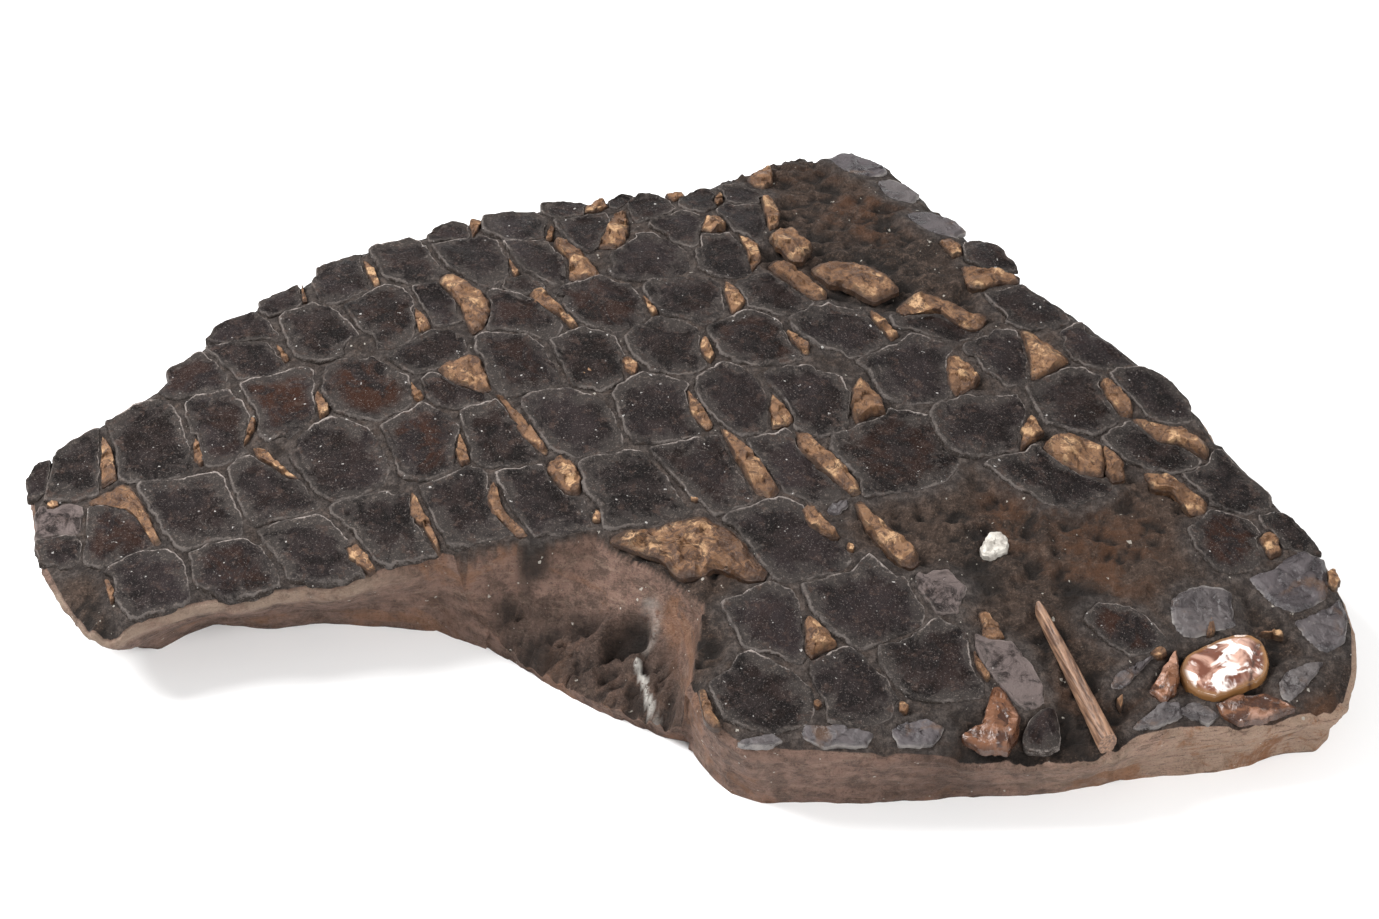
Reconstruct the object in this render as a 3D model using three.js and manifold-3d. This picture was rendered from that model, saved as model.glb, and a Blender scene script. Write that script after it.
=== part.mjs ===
// Slab of brown stone that carries part of the scaled flank of a large fossil fish, with broken bones.
// Millimetres, +Z up. The origin is under the middle of the slab, on the flat face that it rests on.
// The tail end points along -X. Outlines are lists of [x, y] points, as seen from straight above.
import * as THREE from "three";
import { mergeVertices } from "three/addons/utils/BufferGeometryUtils.js";
import Module from "manifold-3d";

const wasm = await Module();
wasm.setup();

// The slab's upper face is a shallow dome: its highest point, and how fast it falls along, back and front.
const CROWN = 37;
const FALL_X = 0.00045;
const FALL_BACK = 0.0013;
const FALL_FRONT = 0.0008;

// How the pieces sit, in mm.
const GAP = 0.35; // clearance between touching pieces
const SCALE_CORNERS = 4; // most corners of a scale
const PIECE_CORNERS = 5; // most corners of a piece of bone
const SCALE_DEPTH = 4.5; // depth of the bed that the scales lie in
const SCALE_SPREAD = 2.2; // how far a scale's buried foot reaches past its rim
const SCALE_FOOT = 3.6; // depth of that foot
const SCALE_BEVEL = 0.6; // how far its upper edge is drawn in
const SCALE_PROUD = 0.5; // its rim above the dome
const SCALE_CROWN = 0.7; // its middle above its rim
const BONE_DEPTH = 2.6;
const BARE_DROP = 1.3; // bare stone below the dome
const BARE_LUMP = 0.7;
// waves that make its lumps: radians for each mm in x and in y, start, weight
const LUMP_WAVES = [[0.23, 0.11, 0, 1], [-0.07, 0.29, 0, 1], [0.09, 0, 2, 0.6]];
const HOLLOW_FOOT = 4; // height of the broken hollow's lower rim
const SHELF_SLOPE = 0.22;
const SLAB_TOP = 60; // cutters end well above everything
const SMALLEST_PIECE = 30; // mm3, crumbs that cutting leaves are dropped

const TO_MIDDLE = [0.85, 0.15]; // brings the origin of the outlines below to the middle of the whole slab

// Upper edge of the slab, anticlockwise from the tail's tip.
// The third number is how far the foot is drawn in.
const RIM = [
  [-168, -24.4, 14], [-166.6, -30, 15], [-164.5, -40, 16], [-161.2, -53, 17], [-154.6, -65, 17],
  [-146.8, -75, 17], [-138.4, -78, 18], [-130, -73.6, 18], [-120, -70.6, 18], [-112, -70, 17],
  [-100, -68.5, 16], [-83, -66.5, 16], [-70, -62.5, 10], [-61, -59, 4], [-50, -62.5, 1],
  [-40, -70.5, 1], [-30, -78.5, 1], [-20, -85, 1], [-10, -90.5, 1], [0, -97, 2],
  [4, -106, 3], [8, -112, 4], [14, -117, 7], [25, -118, 8], [40, -118.6, 8],
  [60, -118.6, 9], [78, -118.6, 9], [92, -118, 9], [100, -115.5, 9], [110, -110, 5],
  [120, -107, 3], [130, -106, 3], [140, -104, 3], [150, -100, 4], [158, -99, 4],
  [162, -94, 4], [165, -85, 4], [166.3, -72, 4], [165, -63, 4], [161, -51, 4],
  [157, -43, 4], [149, -31, 4], [141, -18, 4], [135, -6, 4], [121, 12.5, 4],
  [107, 30, 4], [92, 43, 4], [88, 55, 4], [80, 64, 4], [72, 83, 4],
  [64, 99, 4], [60, 111, 4], [56, 118.6, 4], [50, 118.6, 4], [45, 117, 4],
  [41, 113, 4], [37, 110, 4], [34, 114, 4], [26, 109.5, 4], [17, 101, 4],
  [6, 90, 4], [-4, 85.5, 4], [-15, 86, 4], [-24, 81, 4], [-35, 82, 4],
  [-42, 77.5, 4], [-55, 75, 4], [-72, 66, 5], [-88, 60, 5], [-103.5, 45, 6],
  [-114, 37, 6], [-126, 23, 7], [-138, 5.5, 8], [-152, -6, 9], [-160, -13.6, 11], [-166.9, -21.4, 13],
];
// Line down the middle of the slab, which the foot is drawn in towards.
const SPINE = [[-118, -28], [-40, 18], [55, 40], [105, -50]];

// The broken hollow at the front left: the broken edge of the scales, and the rim at its foot.
const HOLLOW_EDGE = [
  [-64, -60.5], [-50, -57.5], [-42, -55.5], [-36, -57], [-22, -53], [-19, -57], [-10, -62], [0, -70],
  [5, -76], [3, -90], [1, -100], [1, -106],
];
const HOLLOW_RIM = [
  [-64, -59], [-50, -62], [-40, -70], [-30, -78], [-20, -84.5], [-10, -90], [1, -97], [3, -108],
];
const HOLLOW_BEYOND = [[1, -125], [-60, -125], [-64, -70]]; // closes the hollow's outline outside the slab
const HOLLOW_SPAN = { left: -55, right: 2, back: -60 }; // where the slab's edge is the hollow's low rim
// Ridge of bare stone at the back, beyond which the slab slopes off to the right.
const SHELF_RIDGE = [[36, 112], [44, 100], [50, 90], [58, 76], [68, 62]];

// Lines of the grids that carry the upper face, closer together in the hollow, and the bed under the scales.
const FACE_GRID = {
  x: gridLines([-172, -64, 27], [-64, 12, 11], [12, 172, 27]),
  y: gridLines([-122, -50, 12], [-50, 122, 25]),
};
const BED_GRID = { x: gridLines([-172, 172, 57]), y: gridLines([-122, 122, 49]) };

// Scales, row by row from the front to the back, each clockwise from its upper left corner.
const SCALES = [
  // front rows
  [[16.5, -90], [28.5, -96], [31.5, -110], [23, -113.5], [10.5, -110.5], [5.5, -100.5]],
  [[30, -94], [39, -87.5], [44.5, -91], [53, -103.5], [50, -109], [34, -110.5]],
  [[46.5, -88.5], [55, -85.5], [62, -78], [68.5, -82], [72.5, -102], [54.5, -103.5]],
  [[70.5, -83.5], [79.5, -84], [86.5, -97], [87, -103], [82, -104.5], [71.5, -89.5]],
  [[97, -78], [101, -72], [109.5, -72], [118.5, -81], [113, -86.5], [108, -87.5]],
  [[126, -46.5], [132, -39], [143, -41], [144, -54.5], [133, -60], [127, -53.5]],
  [[150, -37.5], [152, -38], [158, -46], [160, -50], [150, -50], [144, -40]],
  [[8.5, -76.5], [21, -69], [26.5, -71], [29, -75.5], [28.5, -94.5], [13.5, -89]],
  [[28.5, -71], [45.5, -59], [54.5, -65.5], [58, -82.5], [43, -89.5], [36, -85.5]],
  [[65, -64], [69.5, -69], [67.5, -77.5], [61.5, -77.5], [56.5, -69]],
  [[135, -17.5], [149, -31], [149, -37], [141, -40], [132, -38], [125.5, -29]],
  [[9.5, -49.5], [23.5, -41.5], [30, -45], [43, -60.5], [40, -65.5], [21.5, -68]],
  [[75.5, -29.5], [89.5, -20.5], [100, -30.5], [110.5, -34], [98.5, -42], [91.5, -41.5]],
  [[105.5, -18], [114, -9.5], [120.5, -17], [133, -22], [123.5, -28.5], [112.5, -26]],
  // third row
  [[-139, -54], [-129, -52], [-124.5, -55], [-120.5, -69], [-134, -74], [-144, -59]],
  [[-123, -55], [-108.5, -51], [-100, -60.5], [-98.5, -66], [-111, -70], [-120, -66]],
  [[-91.5, -44], [-82, -54], [-78, -64], [-86, -67], [-97, -65.5], [-106.5, -49.5]],
  [[-88.5, -42.5], [-74, -37.5], [-68.5, -39], [-67.5, -47], [-60, -59], [-75.5, -61.5]],
  [[-54.5, -30.5], [-49, -32.5], [-46, -49], [-41, -54], [-58.5, -57], [-66.5, -37]],
  [[-48, -33.5], [-35, -30.5], [-33, -37], [-24.5, -42], [-22, -52.5], [-36.5, -55.5]],
  [[-10.5, -26.5], [4.5, -47.5], [-20, -53.5], [-21, -46], [-25, -40.5], [-26.5, -30.5]],
  [[-8.5, -27], [-8, -25.5], [9, -19.5], [18.5, -42.5], [8, -49.5], [1, -42.5]],
  [[15.5, -22.5], [25.5, -18.5], [28.5, -24.5], [41.5, -41], [35, -45], [24.5, -40.5]],
  [[52, -9], [66, -12], [70.5, -28.5], [67, -35], [44, -42], [36, -25.5]],
  [[62, -13], [73.5, -3], [86.5, -2], [88.5, -8], [84, -24], [71.5, -27.5]],
  [[98.5, 8.5], [108.5, 7], [112.5, -9.5], [104.5, -17], [91.5, -13.5], [87.5, -1]],
  [[112.5, 9.5], [122, 11], [131, 0], [131, -9], [119, -9], [110, 7]],
  // fourth row
  [[-163, -34.5], [-160.5, -36], [-153, -34.5], [-151.5, -36], [-150.5, -45.5], [-162.5, -46]],
  [[-163, -46], [-152, -45], [-150, -53], [-151.5, -56.5], [-161, -53]],
  [[-141, -37], [-133, -45], [-131, -51], [-145, -57.5], [-148.5, -56.5], [-150.5, -36]],
  [[-138, -30], [-128, -29.5], [-118, -26.5], [-109.5, -45], [-109, -50.5], [-126.5, -53.5]],
  [[-110, -23], [-96.5, -32.5], [-90, -41.5], [-91, -43], [-107.5, -48.5], [-115.5, -27]],
  [[-90.5, -10.5], [-79, -15], [-73.5, -29], [-74.5, -36.5], [-88, -41], [-100.5, -24.5]],
  [[-67, -6.5], [-56.5, -17], [-57.5, -32], [-66.5, -36], [-72, -33], [-77.5, -15.5]],
  [[-55.5, -10.5], [-48, -7], [-35, -29], [-48, -32], [-52.5, -30.5], [-57.5, -13]],
  [[-30.5, -3], [-19.5, -7.5], [-14.5, -25.5], [-27.5, -29.5], [-32.5, -27.5], [-42, -9]],
  [[-11, 2.5], [1, -0.5], [0.5, -4.5], [5.5, -21], [-13, -25], [-18.5, -6.5]],
  [[3, -0.5], [11, 6.5], [22, -6], [22, -20], [15, -22], [8, -16.5]],
  [[19.5, 1.5], [33.5, 5.5], [41, 2], [43, -4], [42, -20], [34, -22]],
  [[43.5, 6.5], [59.5, 20], [71, 15], [69, -4], [58, -9], [50.5, -7]],
  [[72.5, 15], [81.5, 23.5], [87.5, 23], [90, 1], [82, -0.5], [77, 5]],
  [[103, 27.5], [112, 19.5], [118, 12], [109, 8.5], [101, 11], [98, 22]],
  // fifth row
  [[-165, -18.5], [-161.5, -17.5], [-161.5, -30], [-166.5, -31], [-167.5, -24]],
  [[-161, -15], [-151, -7], [-147.5, -32], [-151, -34], [-162.5, -33], [-161.5, -30.5]],
  [[-139, 1], [-134, 0.5], [-129.5, -5], [-123, -27], [-143, -28.5], [-149, -7]],
  [[-117.5, 2.5], [-110.5, -7.5], [-112, -19], [-110, -21.5], [-121.5, -26], [-129, -2.5]],
  [[-99, 9.5], [-95.5, 8], [-94, -11], [-100.5, -18.5], [-106, -19], [-115.5, 4]],
  [[-93, 8], [-81, 12], [-70, 2.5], [-69, -7], [-78, -14], [-89.5, -9.5]],
  [[-77.5, 11], [-66.5, 21], [-59.5, 21.5], [-55, 12], [-65, 4], [-69, 2.5]],
  [[-63, 3.5], [-58.5, -1.5], [-49, -5], [-58.5, -11], [-66, -6], [-68, 1]],
  [[-54.5, 16.5], [-41, 18], [-37, 15], [-30, -0.5], [-44, -7], [-49, -3.5]],
  [[-35.5, 14.5], [-26.5, 20], [-17, 16], [-15.5, -1.5], [-20.5, -5.5], [-28.5, -3.5]],
  [[-7, 24], [4.5, 20], [7, 4], [2, 0.5], [-8.5, 2], [-16, 15.5]],
  [[15.5, 27], [25.5, 23.5], [32.5, 7.5], [18.5, 3.5], [9, 8.5], [6.5, 20]],
  [[38, 31], [48, 29], [54, 14], [43, 7.5], [29, 17.5], [26.5, 23.5]],
  [[53.5, 24.5], [66, 28], [79, 21.5], [71.5, 16], [59.5, 20.5], [55.5, 20.5]],
  [[78.5, 36.5], [89.5, 42.5], [100, 34], [102.5, 28], [92.5, 22], [84, 25]],
  // sixth row
  [[-135, 11], [-126, 18.5], [-118.5, 9], [-118, 4], [-131, -1], [-136.5, 3]],
  [[-108.5, 20.5], [-103.5, 11], [-101.5, 10], [-107, 6], [-115, 5.5], [-125, 19.5]],
  [[-97.5, 35.5], [-88, 28], [-84.5, 20], [-95, 9], [-101.5, 13], [-107.5, 29.5]],
  [[-79.5, 42.5], [-74, 40.5], [-69.5, 19], [-74, 14], [-79.5, 13.5], [-90.5, 32.5]],
  [[-71.5, 40], [-65.5, 41], [-60, 32], [-59.5, 22.5], [-65.5, 22.5], [-72, 38.5]],
  [[-50, 37.5], [-41, 33.5], [-30.5, 20.5], [-35.5, 15.5], [-46.5, 20], [-51.5, 19]],
  [[-42, 43.5], [-36.5, 38], [-41.5, 34.5], [-46.5, 36], [-48.5, 38], [-47.5, 41]],
  [[-22.5, 42.5], [-13, 38], [-9, 24.5], [-16.5, 17.5], [-27, 21.5], [-33, 37]],
  [[5, 42.5], [10.5, 39.5], [11.5, 25], [5.5, 20.5], [-5.5, 24.5], [-11.5, 37]],
  [[13.5, 37.5], [14.5, 40], [22.5, 44], [35, 31], [26, 24.5], [16.5, 28]],
  [[75, 61], [80, 63], [85, 61], [90, 50], [80.5, 49.5], [75, 51.5]],
  // seventh row
  [[-126, 22], [-121, 30], [-113.5, 33.5], [-109, 29], [-105, 21], [-120, 20.5]],
  [[-113.5, 37], [-102.5, 45], [-100.5, 36], [-105, 31.5], [-109, 30], [-113, 34]],
  [[-99, 50], [-86.5, 58], [-87, 54.5], [-83, 40], [-91.5, 33.5], [-97, 36.5]],
  [[-71.5, 63.5], [-64, 46.5], [-66.5, 42], [-72.5, 40.5], [-80.5, 45.5], [-85, 58]],
  [[-69, 59], [-54.5, 63], [-50, 61], [-46, 43.5], [-50, 39], [-62.5, 46.5]],
  [[-36, 59.5], [-31.5, 50.5], [-29.5, 39.5], [-34, 38], [-43, 45], [-49, 60]],
  [[-9, 64.5], [2, 54.5], [2.5, 43], [-12, 39], [-18.5, 41], [-20, 52.5]],
  [[4.5, 62], [12, 63.5], [18, 50], [18, 42.5], [13.5, 40.5], [3.5, 45]],
  // eighth row
  [[-68, 68], [-63, 71.5], [-58.5, 70], [-57.5, 62.5], [-68.5, 61], [-70, 64]],
  [[-55, 73], [-41, 76], [-36.5, 70.5], [-37.5, 61], [-44, 59], [-55, 66.5]],
  [[-36, 69.5], [-21, 74.5], [-19.5, 71], [-22.5, 57], [-25, 52.5], [-34.5, 64]],
  [[-9, 69], [-1, 75], [6.5, 72.5], [4, 56], [-3, 58], [-10, 66]],
  [[8, 74.5], [11, 78], [21, 78.5], [22, 68], [21.5, 59], [13.5, 63]],
  // last row, along the back
  [[-39, 78], [-35, 80], [-26, 78.5], [-27, 72.5], [-33, 71], [-38.5, 73.5]],
  [[-17, 84], [-13.5, 83], [-18, 75.5], [-20.5, 76], [-21, 79.5]],
  [[-12, 83.5], [-6.5, 83], [-2, 76], [-6, 71], [-13, 67.5], [-15.5, 76.5]],
  [[4.5, 86.5], [7.5, 86.5], [9, 77], [6.5, 73.5], [-1, 76.5], [-2, 80]],
  [[9, 87], [10.5, 89], [20, 87], [23, 83.5], [21, 79.5], [11.5, 79]],
];

// Broken bones and other pieces set in the slab: name, how far they stand up, colour, outline.
const TAN = 0xb08a5c;
const DARK_BONE = 0x5d4634;
const GREY = 0x575662;
const PIECES = [
  ["tail_bone_1", 2, TAN,
    [[-149.5, -10], [-146, -16.5], [-143.3, -27.5], [-147.5, -30], [-148.5, -20]]],
  ["tail_bone_2", 2, TAN,
    [[-141, -31], [-138, -33], [-130.5, -50], [-133, -51], [-141, -36], [-149, -34.5]]],
  ["blade_bone", 3, TAN,
    [[-65.5, 42], [-62, 46], [-53, 36], [-50.8, 31], [-52.5, 21], [-55, 18], [-59, 31]]],
  ["middle_bone_1", 3, TAN, [[-64, 5], [-56, 11], [-52.5, 9], [-49.5, -3], [-51, -5], [-58, -1]]],
  ["middle_bone_2", 2, TAN, [[-41, 35], [-38, 38.5], [-34, 31], [-27, 20], [-29, 18.8], [-40, 31]]],
  ["middle_bone_3", 2, TAN, [[-48.5, -5], [-46, -6], [-41, -14], [-34, -26], [-35, -28], [-41, -21]]],
  ["oval_bone", 3, TAN,
    [[-34, -30], [-31, -27.5], [-28, -30], [-25, -37], [-26, -41], [-30, -40.5], [-34.5, -33]]],
  ["front_bone_1", 2, TAN, [[-47.8, -36], [-42, -50], [-38.5, -54], [-41, -55], [-48, -46]]],
  ["back_bone_1", 2, TAN, [[-34.5, 61], [-32, 60], [-22, 43], [-30, 41], [-30.5, 50], [-35, 57]]],
  ["back_blade", 3, TAN,
    [[-19, 72], [-16, 76], [-14.5, 65], [-15.5, 59], [-18, 55], [-23, 55.5], [-20, 66]]],
  ["back_bone_3", 3, TAN, [[4.5, 64], [6, 69], [8, 73], [11, 69], [11.5, 64]]],
  ["back_bone_4", 2, TAN, [[17, 93], [20, 97], [24, 102], [25, 97], [22, 87], [19, 89]]],
  ["block_bone", 4, TAN, [[25, 64], [29, 67], [34, 57], [33, 52], [31.5, 48.5], [28, 50], [23.5, 59]]],
  ["rod_bone_1", 3, TAN, [[22, 46.5], [24.5, 50], [28, 47], [37.5, 36.5], [37, 33], [34, 32], [26, 41]]],
  ["large_bone", 4, TAN, [[33.5, 46], [37, 49], [46, 50], [52, 46], [57, 37.5], [50, 31.5], [42, 39]]],
  ["ruffled_bone", 3, TAN, [[56, 30], [62, 36], [68, 35], [79, 27.5], [76, 23], [67, 29]]],
  ["right_bone_1", 3, TAN, [[48.5, 29], [51, 27], [56.5, 18], [55, 15], [50, 23]]],
  ["right_bone_2", 2, TAN, [[11, 40], [14, 36], [16, 31], [15, 27], [13, 25], [11.5, 32]]],
  ["right_bone_3", 4, TAN, [[43, -5], [45, 2], [51, -9], [52, -13], [44, -17], [42.5, -12]]],
  ["right_bone_6", 3, TAN, [[68, 10], [71, 11], [77, 3], [75, 0], [70, -5], [68, -1]]],
  ["right_bone_7", 4, TAN, [[88.5, 22], [99, 14], [100.5, 10.5], [92, 4], [89.5, 3]]],
  ["right_bone_8", 2, TAN, [[107.5, 3], [109, 6], [116, -3.5], [115, -8.5], [109.5, -3]]],
  ["right_bone_9", 3, TAN, [[91, -22], [93, -18], [97, -17], [105, -18], [106, -31], [100, -30]]],
  ["right_bone_10", 3, TAN, [[115, -9], [132, -14], [134, -18], [133, -22], [121, -17], [117, -13]]],
  ["right_bone_11", 3, TAN, [[116, -28], [125, -30], [132, -37], [131, -40], [127, -42], [123, -34]]],
  ["right_bone_12", 2, TAN, [[74, 50], [89, 49], [89, 43.5], [82, 42], [75, 40]]],
  ["rod_bone_2", 4, TAN, [[9, -18], [12, -20], [24, -39.5], [22, -43], [18, -41], [13, -30]]],
  ["rod_bone_3", 3, TAN, [[28, -19], [31, -19], [44, -37], [44, -40], [42, -41], [34, -32]]],
  ["rod_bone_4", 4, TAN, [[42, -43], [44.5, -43], [52, -55], [58, -60], [56, -64.5], [53, -63], [46, -54]]],
  ["front_bone_3", 2, TAN, [[29, -46], [32, -44.5], [39, -55], [36.5, -56], [31, -51]]],
  ["rough_bone", 3, TAN,
    [[-18.5, -56.5], [-7, -52.5], [6, -49.5], [13, -54], [20, -68], [8, -65], [-4, -63]]],
  ["front_bone_4", 4, TAN, [[29.5, -81], [31, -80], [37.5, -88], [31, -92], [29.5, -90]]],
  ["front_bone_5", 4, TAN, [[75, -98], [81.5, -108], [80, -113], [76, -116], [68, -114], [72, -107]]],
  ["front_bone_6", 4, TAN, [[120, -84], [120, -91], [119, -97], [116, -100.5], [112, -97], [116, -91]]],
  ["front_bone_7", 3, TAN,
    [[128.5, -99.5], [133, -96.5], [146, -97], [148.5, -98], [140, -102.5], [131, -103]]],
  ["edge_bone", 2, TAN, [[143.5, -47], [147, -44.5], [149.5, -49], [149, -52], [146, -53.5]]],
  ["glossy_scale", 3, 0x9b6f58,
    [[120, -90], [128, -82], [139, -78], [142, -81], [143, -86], [141, -91], [131, -97], [126, -98],
      [121, -95]]],
  ["dark_lens", 4, 0x2c2628,
    [[81, -113], [83, -107], [89, -103], [90.5, -108], [90, -114], [85, -116]]],
  ["grey_plate_1", 1, GREY, [[119.5, -70], [127, -64], [135, -65], [136, -76], [130, -78], [121, -80]]],
  ["grey_plate_2", 1, GREY,
    [[139, -60.5], [151, -52], [155, -50], [160, -52], [159, -65], [152, -69], [146, -69]]],
  ["grey_plate_3", 1, GREY, [[150.5, -74], [161, -68], [163, -78], [157, -82], [152, -78]]],
  ["grey_flake", 2, GREY, [[145, -95], [146, -91], [154, -86.5], [157, -84.5], [154, -90], [148, -96.5]]],
  ["white_pebble", 2, 0xc9c5bd, [[73, -56], [76, -51], [81, -52], [80, -56], [77, -59]]],
];
// Broken spine of a fin, lying in the front right: its two ends, its widths there, and how far it stands up.
const RAY = { from: [86.5, -74.5], to: [101, -113.5], widths: [2.2, 4.6], rise: 4.5, sink: 2.5 };

const slab = new THREE.Group();

function gridLines(...spans) {
  const lines = [spans[0][0]];
  for (const [start, end, step] of spans) {
    const count = Math.round((end - start) / step);
    for (let i = 1; i <= count; i++) lines.push(start + ((end - start) * i) / count);
  }
  return lines;
}

function dome(x, y) {
  return CROWN - FALL_X * x * x - (y > 0 ? FALL_BACK : FALL_FRONT) * y * y;
}

function nearestOnLine(line, x, y) {
  let best = { distance: Infinity };
  for (let i = 0; i + 1 < line.length; i++) {
    const [ax, ay] = line[i];
    const [dx, dy] = [line[i + 1][0] - ax, line[i + 1][1] - ay];
    const t = Math.min(1, Math.max(0, ((x - ax) * dx + (y - ay) * dy) / (dx * dx + dy * dy)));
    const [px, py] = [ax + t * dx, ay + t * dy];
    const distance = Math.hypot(x - px, y - py);
    if (distance < best.distance) best = { distance, x: px, y: py, side: dx * (y - ay) - dy * (x - ax) };
  }
  return best;
}

function isInside(outline, x, y) {
  let inside = false;
  for (let i = 0, j = outline.length - 1; i < outline.length; j = i++) {
    const [[ax, ay], [bx, by]] = [outline[i], outline[j]];
    if (ay > y !== by > y && x < ((bx - ax) * (y - ay)) / (by - ay) + ax) inside = !inside;
  }
  return inside;
}

const hollowOutline = [...HOLLOW_EDGE, ...HOLLOW_BEYOND];
const hollowFloor = [...HOLLOW_EDGE, ...[...HOLLOW_RIM].reverse()];

// Height of the bare stone: lumpy, broken away in the hollow, and falling off beyond the ridge at the back.
function stoneHeight(x, y) {
  const waves = LUMP_WAVES.map(([inX, inY, start, weight]) => Math.sin(x * inX + y * inY + start) * weight);
  const lumps = waves[0] + waves[1] + waves[2];
  let z = dome(x, y) - BARE_DROP + (BARE_LUMP * lumps) / 2;
  if (isInside(hollowOutline, x, y)) {
    const edge = nearestOnLine(HOLLOW_EDGE, x, y).distance;
    const rim = nearestOnLine(HOLLOW_RIM, x, y).distance;
    const share = isInside(hollowFloor, x, y) ? edge / (edge + rim) : 1;
    z += (HOLLOW_FOOT - z) * Math.pow(share, 0.8);
  }
  const ridge = nearestOnLine(SHELF_RIDGE, x, y);
  if (y > 60 && ridge.side > 0) z -= SHELF_SLOPE * ridge.distance;
  return z;
}

function solid(points, faces) {
  const geometry = new THREE.BufferGeometry();
  geometry.setAttribute("position", new THREE.Float32BufferAttribute(points.flat(), 3));
  geometry.setIndex(faces.flat());
  const merged = mergeVertices(geometry, 1e-4);
  return new wasm.Manifold(
    new wasm.Mesh({
      numProp: 3,
      vertProperties: merged.attributes.position.array,
      triVerts: new Uint32Array(merged.index.array),
    }),
  );
}

function anticlockwise(outline) {
  const corners = outline.map(([x, y]) => new THREE.Vector2(x, y));
  return THREE.ShapeUtils.area(corners) < 0 ? [...outline].reverse() : outline;
}

// Moves each corner of an anticlockwise outline outwards.
function grown(outline, distance) {
  const n = outline.length;
  return outline.map(([x, y], i) => {
    const [px, py] = outline[(i + n - 1) % n];
    const [nx, ny] = outline[(i + 1) % n];
    const before = new THREE.Vector2(y - py, px - x).normalize();
    const after = new THREE.Vector2(ny - y, x - nx).normalize();
    const out = before.clone().add(after).normalize();
    const reach = distance / Math.max(0.6, out.dot(after));
    return [x + out.x * reach, y + out.y * reach];
  });
}

// A closed solid through rings of equal count, each a list of [x, y, z], with flat or fanned ends.
function loft(rings, peak) {
  const n = rings[0].length;
  const points = rings.flat();
  const faces = [];
  for (let r = 0; r + 1 < rings.length; r++) {
    for (let i = 0; i < n; i++) {
      const j = (i + 1) % n;
      const [a, b, c, d] = [r * n + i, r * n + j, (r + 1) * n + j, (r + 1) * n + i];
      faces.push([a, b, c], [a, c, d]);
    }
  }
  const cap = (ring, start, up) => {
    const corners = ring.map(([x, y]) => new THREE.Vector2(x, y));
    for (const [a, b, c] of THREE.ShapeUtils.triangulateShape(corners, [])) {
      faces.push(up ? [start + a, start + b, start + c] : [start + a, start + c, start + b]);
    }
  };
  cap(rings[0], 0, false);
  const last = (rings.length - 1) * n;
  if (peak) {
    points.push(peak);
    for (let i = 0; i < n; i++) faces.push([last + i, last + ((i + 1) % n), points.length - 1]);
  } else {
    cap(rings.at(-1), last, true);
  }
  return solid(points, faces);
}

// Everything between two heights over a grid, each a number or a function of x and y.
function layer(grid, bottom, top) {
  const at = (height, x, y) => (typeof height === "number" ? height : height(x, y));
  const points = [];
  for (const height of [bottom, top]) {
    for (const y of grid.y) for (const x of grid.x) points.push([x, y, at(height, x, y)]);
  }
  const [nx, ny] = [grid.x.length, grid.y.length];
  const upper = nx * ny;
  const faces = [];
  for (let j = 0; j + 1 < ny; j++) {
    for (let i = 0; i + 1 < nx; i++) {
      const a = j * nx + i;
      const [b, c, d] = [a + 1, a + nx + 1, a + nx];
      faces.push([a, c, b], [a, d, c], [upper + a, upper + b, upper + c], [upper + a, upper + c, upper + d]);
    }
  }
  const wall = (a, b) => faces.push([a, b, upper + b], [a, upper + b, upper + a]);
  for (let i = 0; i + 1 < nx; i++) {
    wall(i, i + 1);
    wall((ny - 1) * nx + i + 1, (ny - 1) * nx + i);
  }
  for (let j = 0; j + 1 < ny; j++) {
    wall(j * nx + nx - 1, (j + 1) * nx + nx - 1);
    wall((j + 1) * nx, j * nx);
  }
  return solid(points, faces);
}

function middle(outline) {
  const sum = outline.reduce(([sx, sy], [x, y]) => [sx + x, sy + y], [0, 0]);
  return [sum[0] / outline.length, sum[1] / outline.length];
}

const raised = (outline, height) => outline.map(([x, y]) => [x, y, height(x, y)]);
const column = (outline, bottom) => loft([raised(outline, bottom), raised(outline, () => SLAB_TOP)]);

function union(solids) {
  return solids.reduce((whole, next) => whole.add(next));
}

// The slab's sides, from its drawn-in foot to its rounded upper edge, and on upwards past the upper face.
function sideWalls() {
  const ring = (share, drawn, extra) =>
    RIM.map(([x, y, foot]) => {
      const inner = nearestOnLine(SPINE, x, y);
      const move = (foot * drawn + extra.inset) / inner.distance;
      const level = Math.min(dome(x, y) - BARE_DROP, isHollowRim(x, y) ? HOLLOW_FOOT + 1 : Infinity);
      return [x + (inner.x - x) * move, y + (inner.y - y) * move, level * share + extra.rise];
    });
  return loft([
    ring(0, 1, { inset: 0, rise: 0 }),
    ring(0.3, 0.75, { inset: 0, rise: 0 }),
    ring(0.6, 0.3, { inset: 0, rise: 0 }),
    ring(0.86, 0, { inset: 0, rise: 0 }),
    ring(1, 0, { inset: 2.5, rise: 1 }),
    ring(1, 0, { inset: 4, rise: SLAB_TOP / 2 }),
  ]);
}

function isHollowRim(x, y) {
  return x > HOLLOW_SPAN.left && x < HOLLOW_SPAN.right && y < HOLLOW_SPAN.back;
}

// Drops the corners that matter least to an outline's area until it has the given number.
function withCorners(outline, most) {
  const kept = [...outline];
  while (kept.length > most) {
    const n = kept.length;
    const loss = kept.map((corner, i) => {
      const triangle = [kept[(i + n - 1) % n], corner, kept[(i + 1) % n]];
      return Math.abs(THREE.ShapeUtils.area(triangle.map(([x, y]) => new THREE.Vector2(x, y))));
    });
    kept.splice(loss.indexOf(Math.min(...loss)), 1);
  }
  return kept;
}

const scaleOutlines = SCALES.map((outline) => withCorners(anticlockwise(outline), SCALE_CORNERS));

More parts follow.
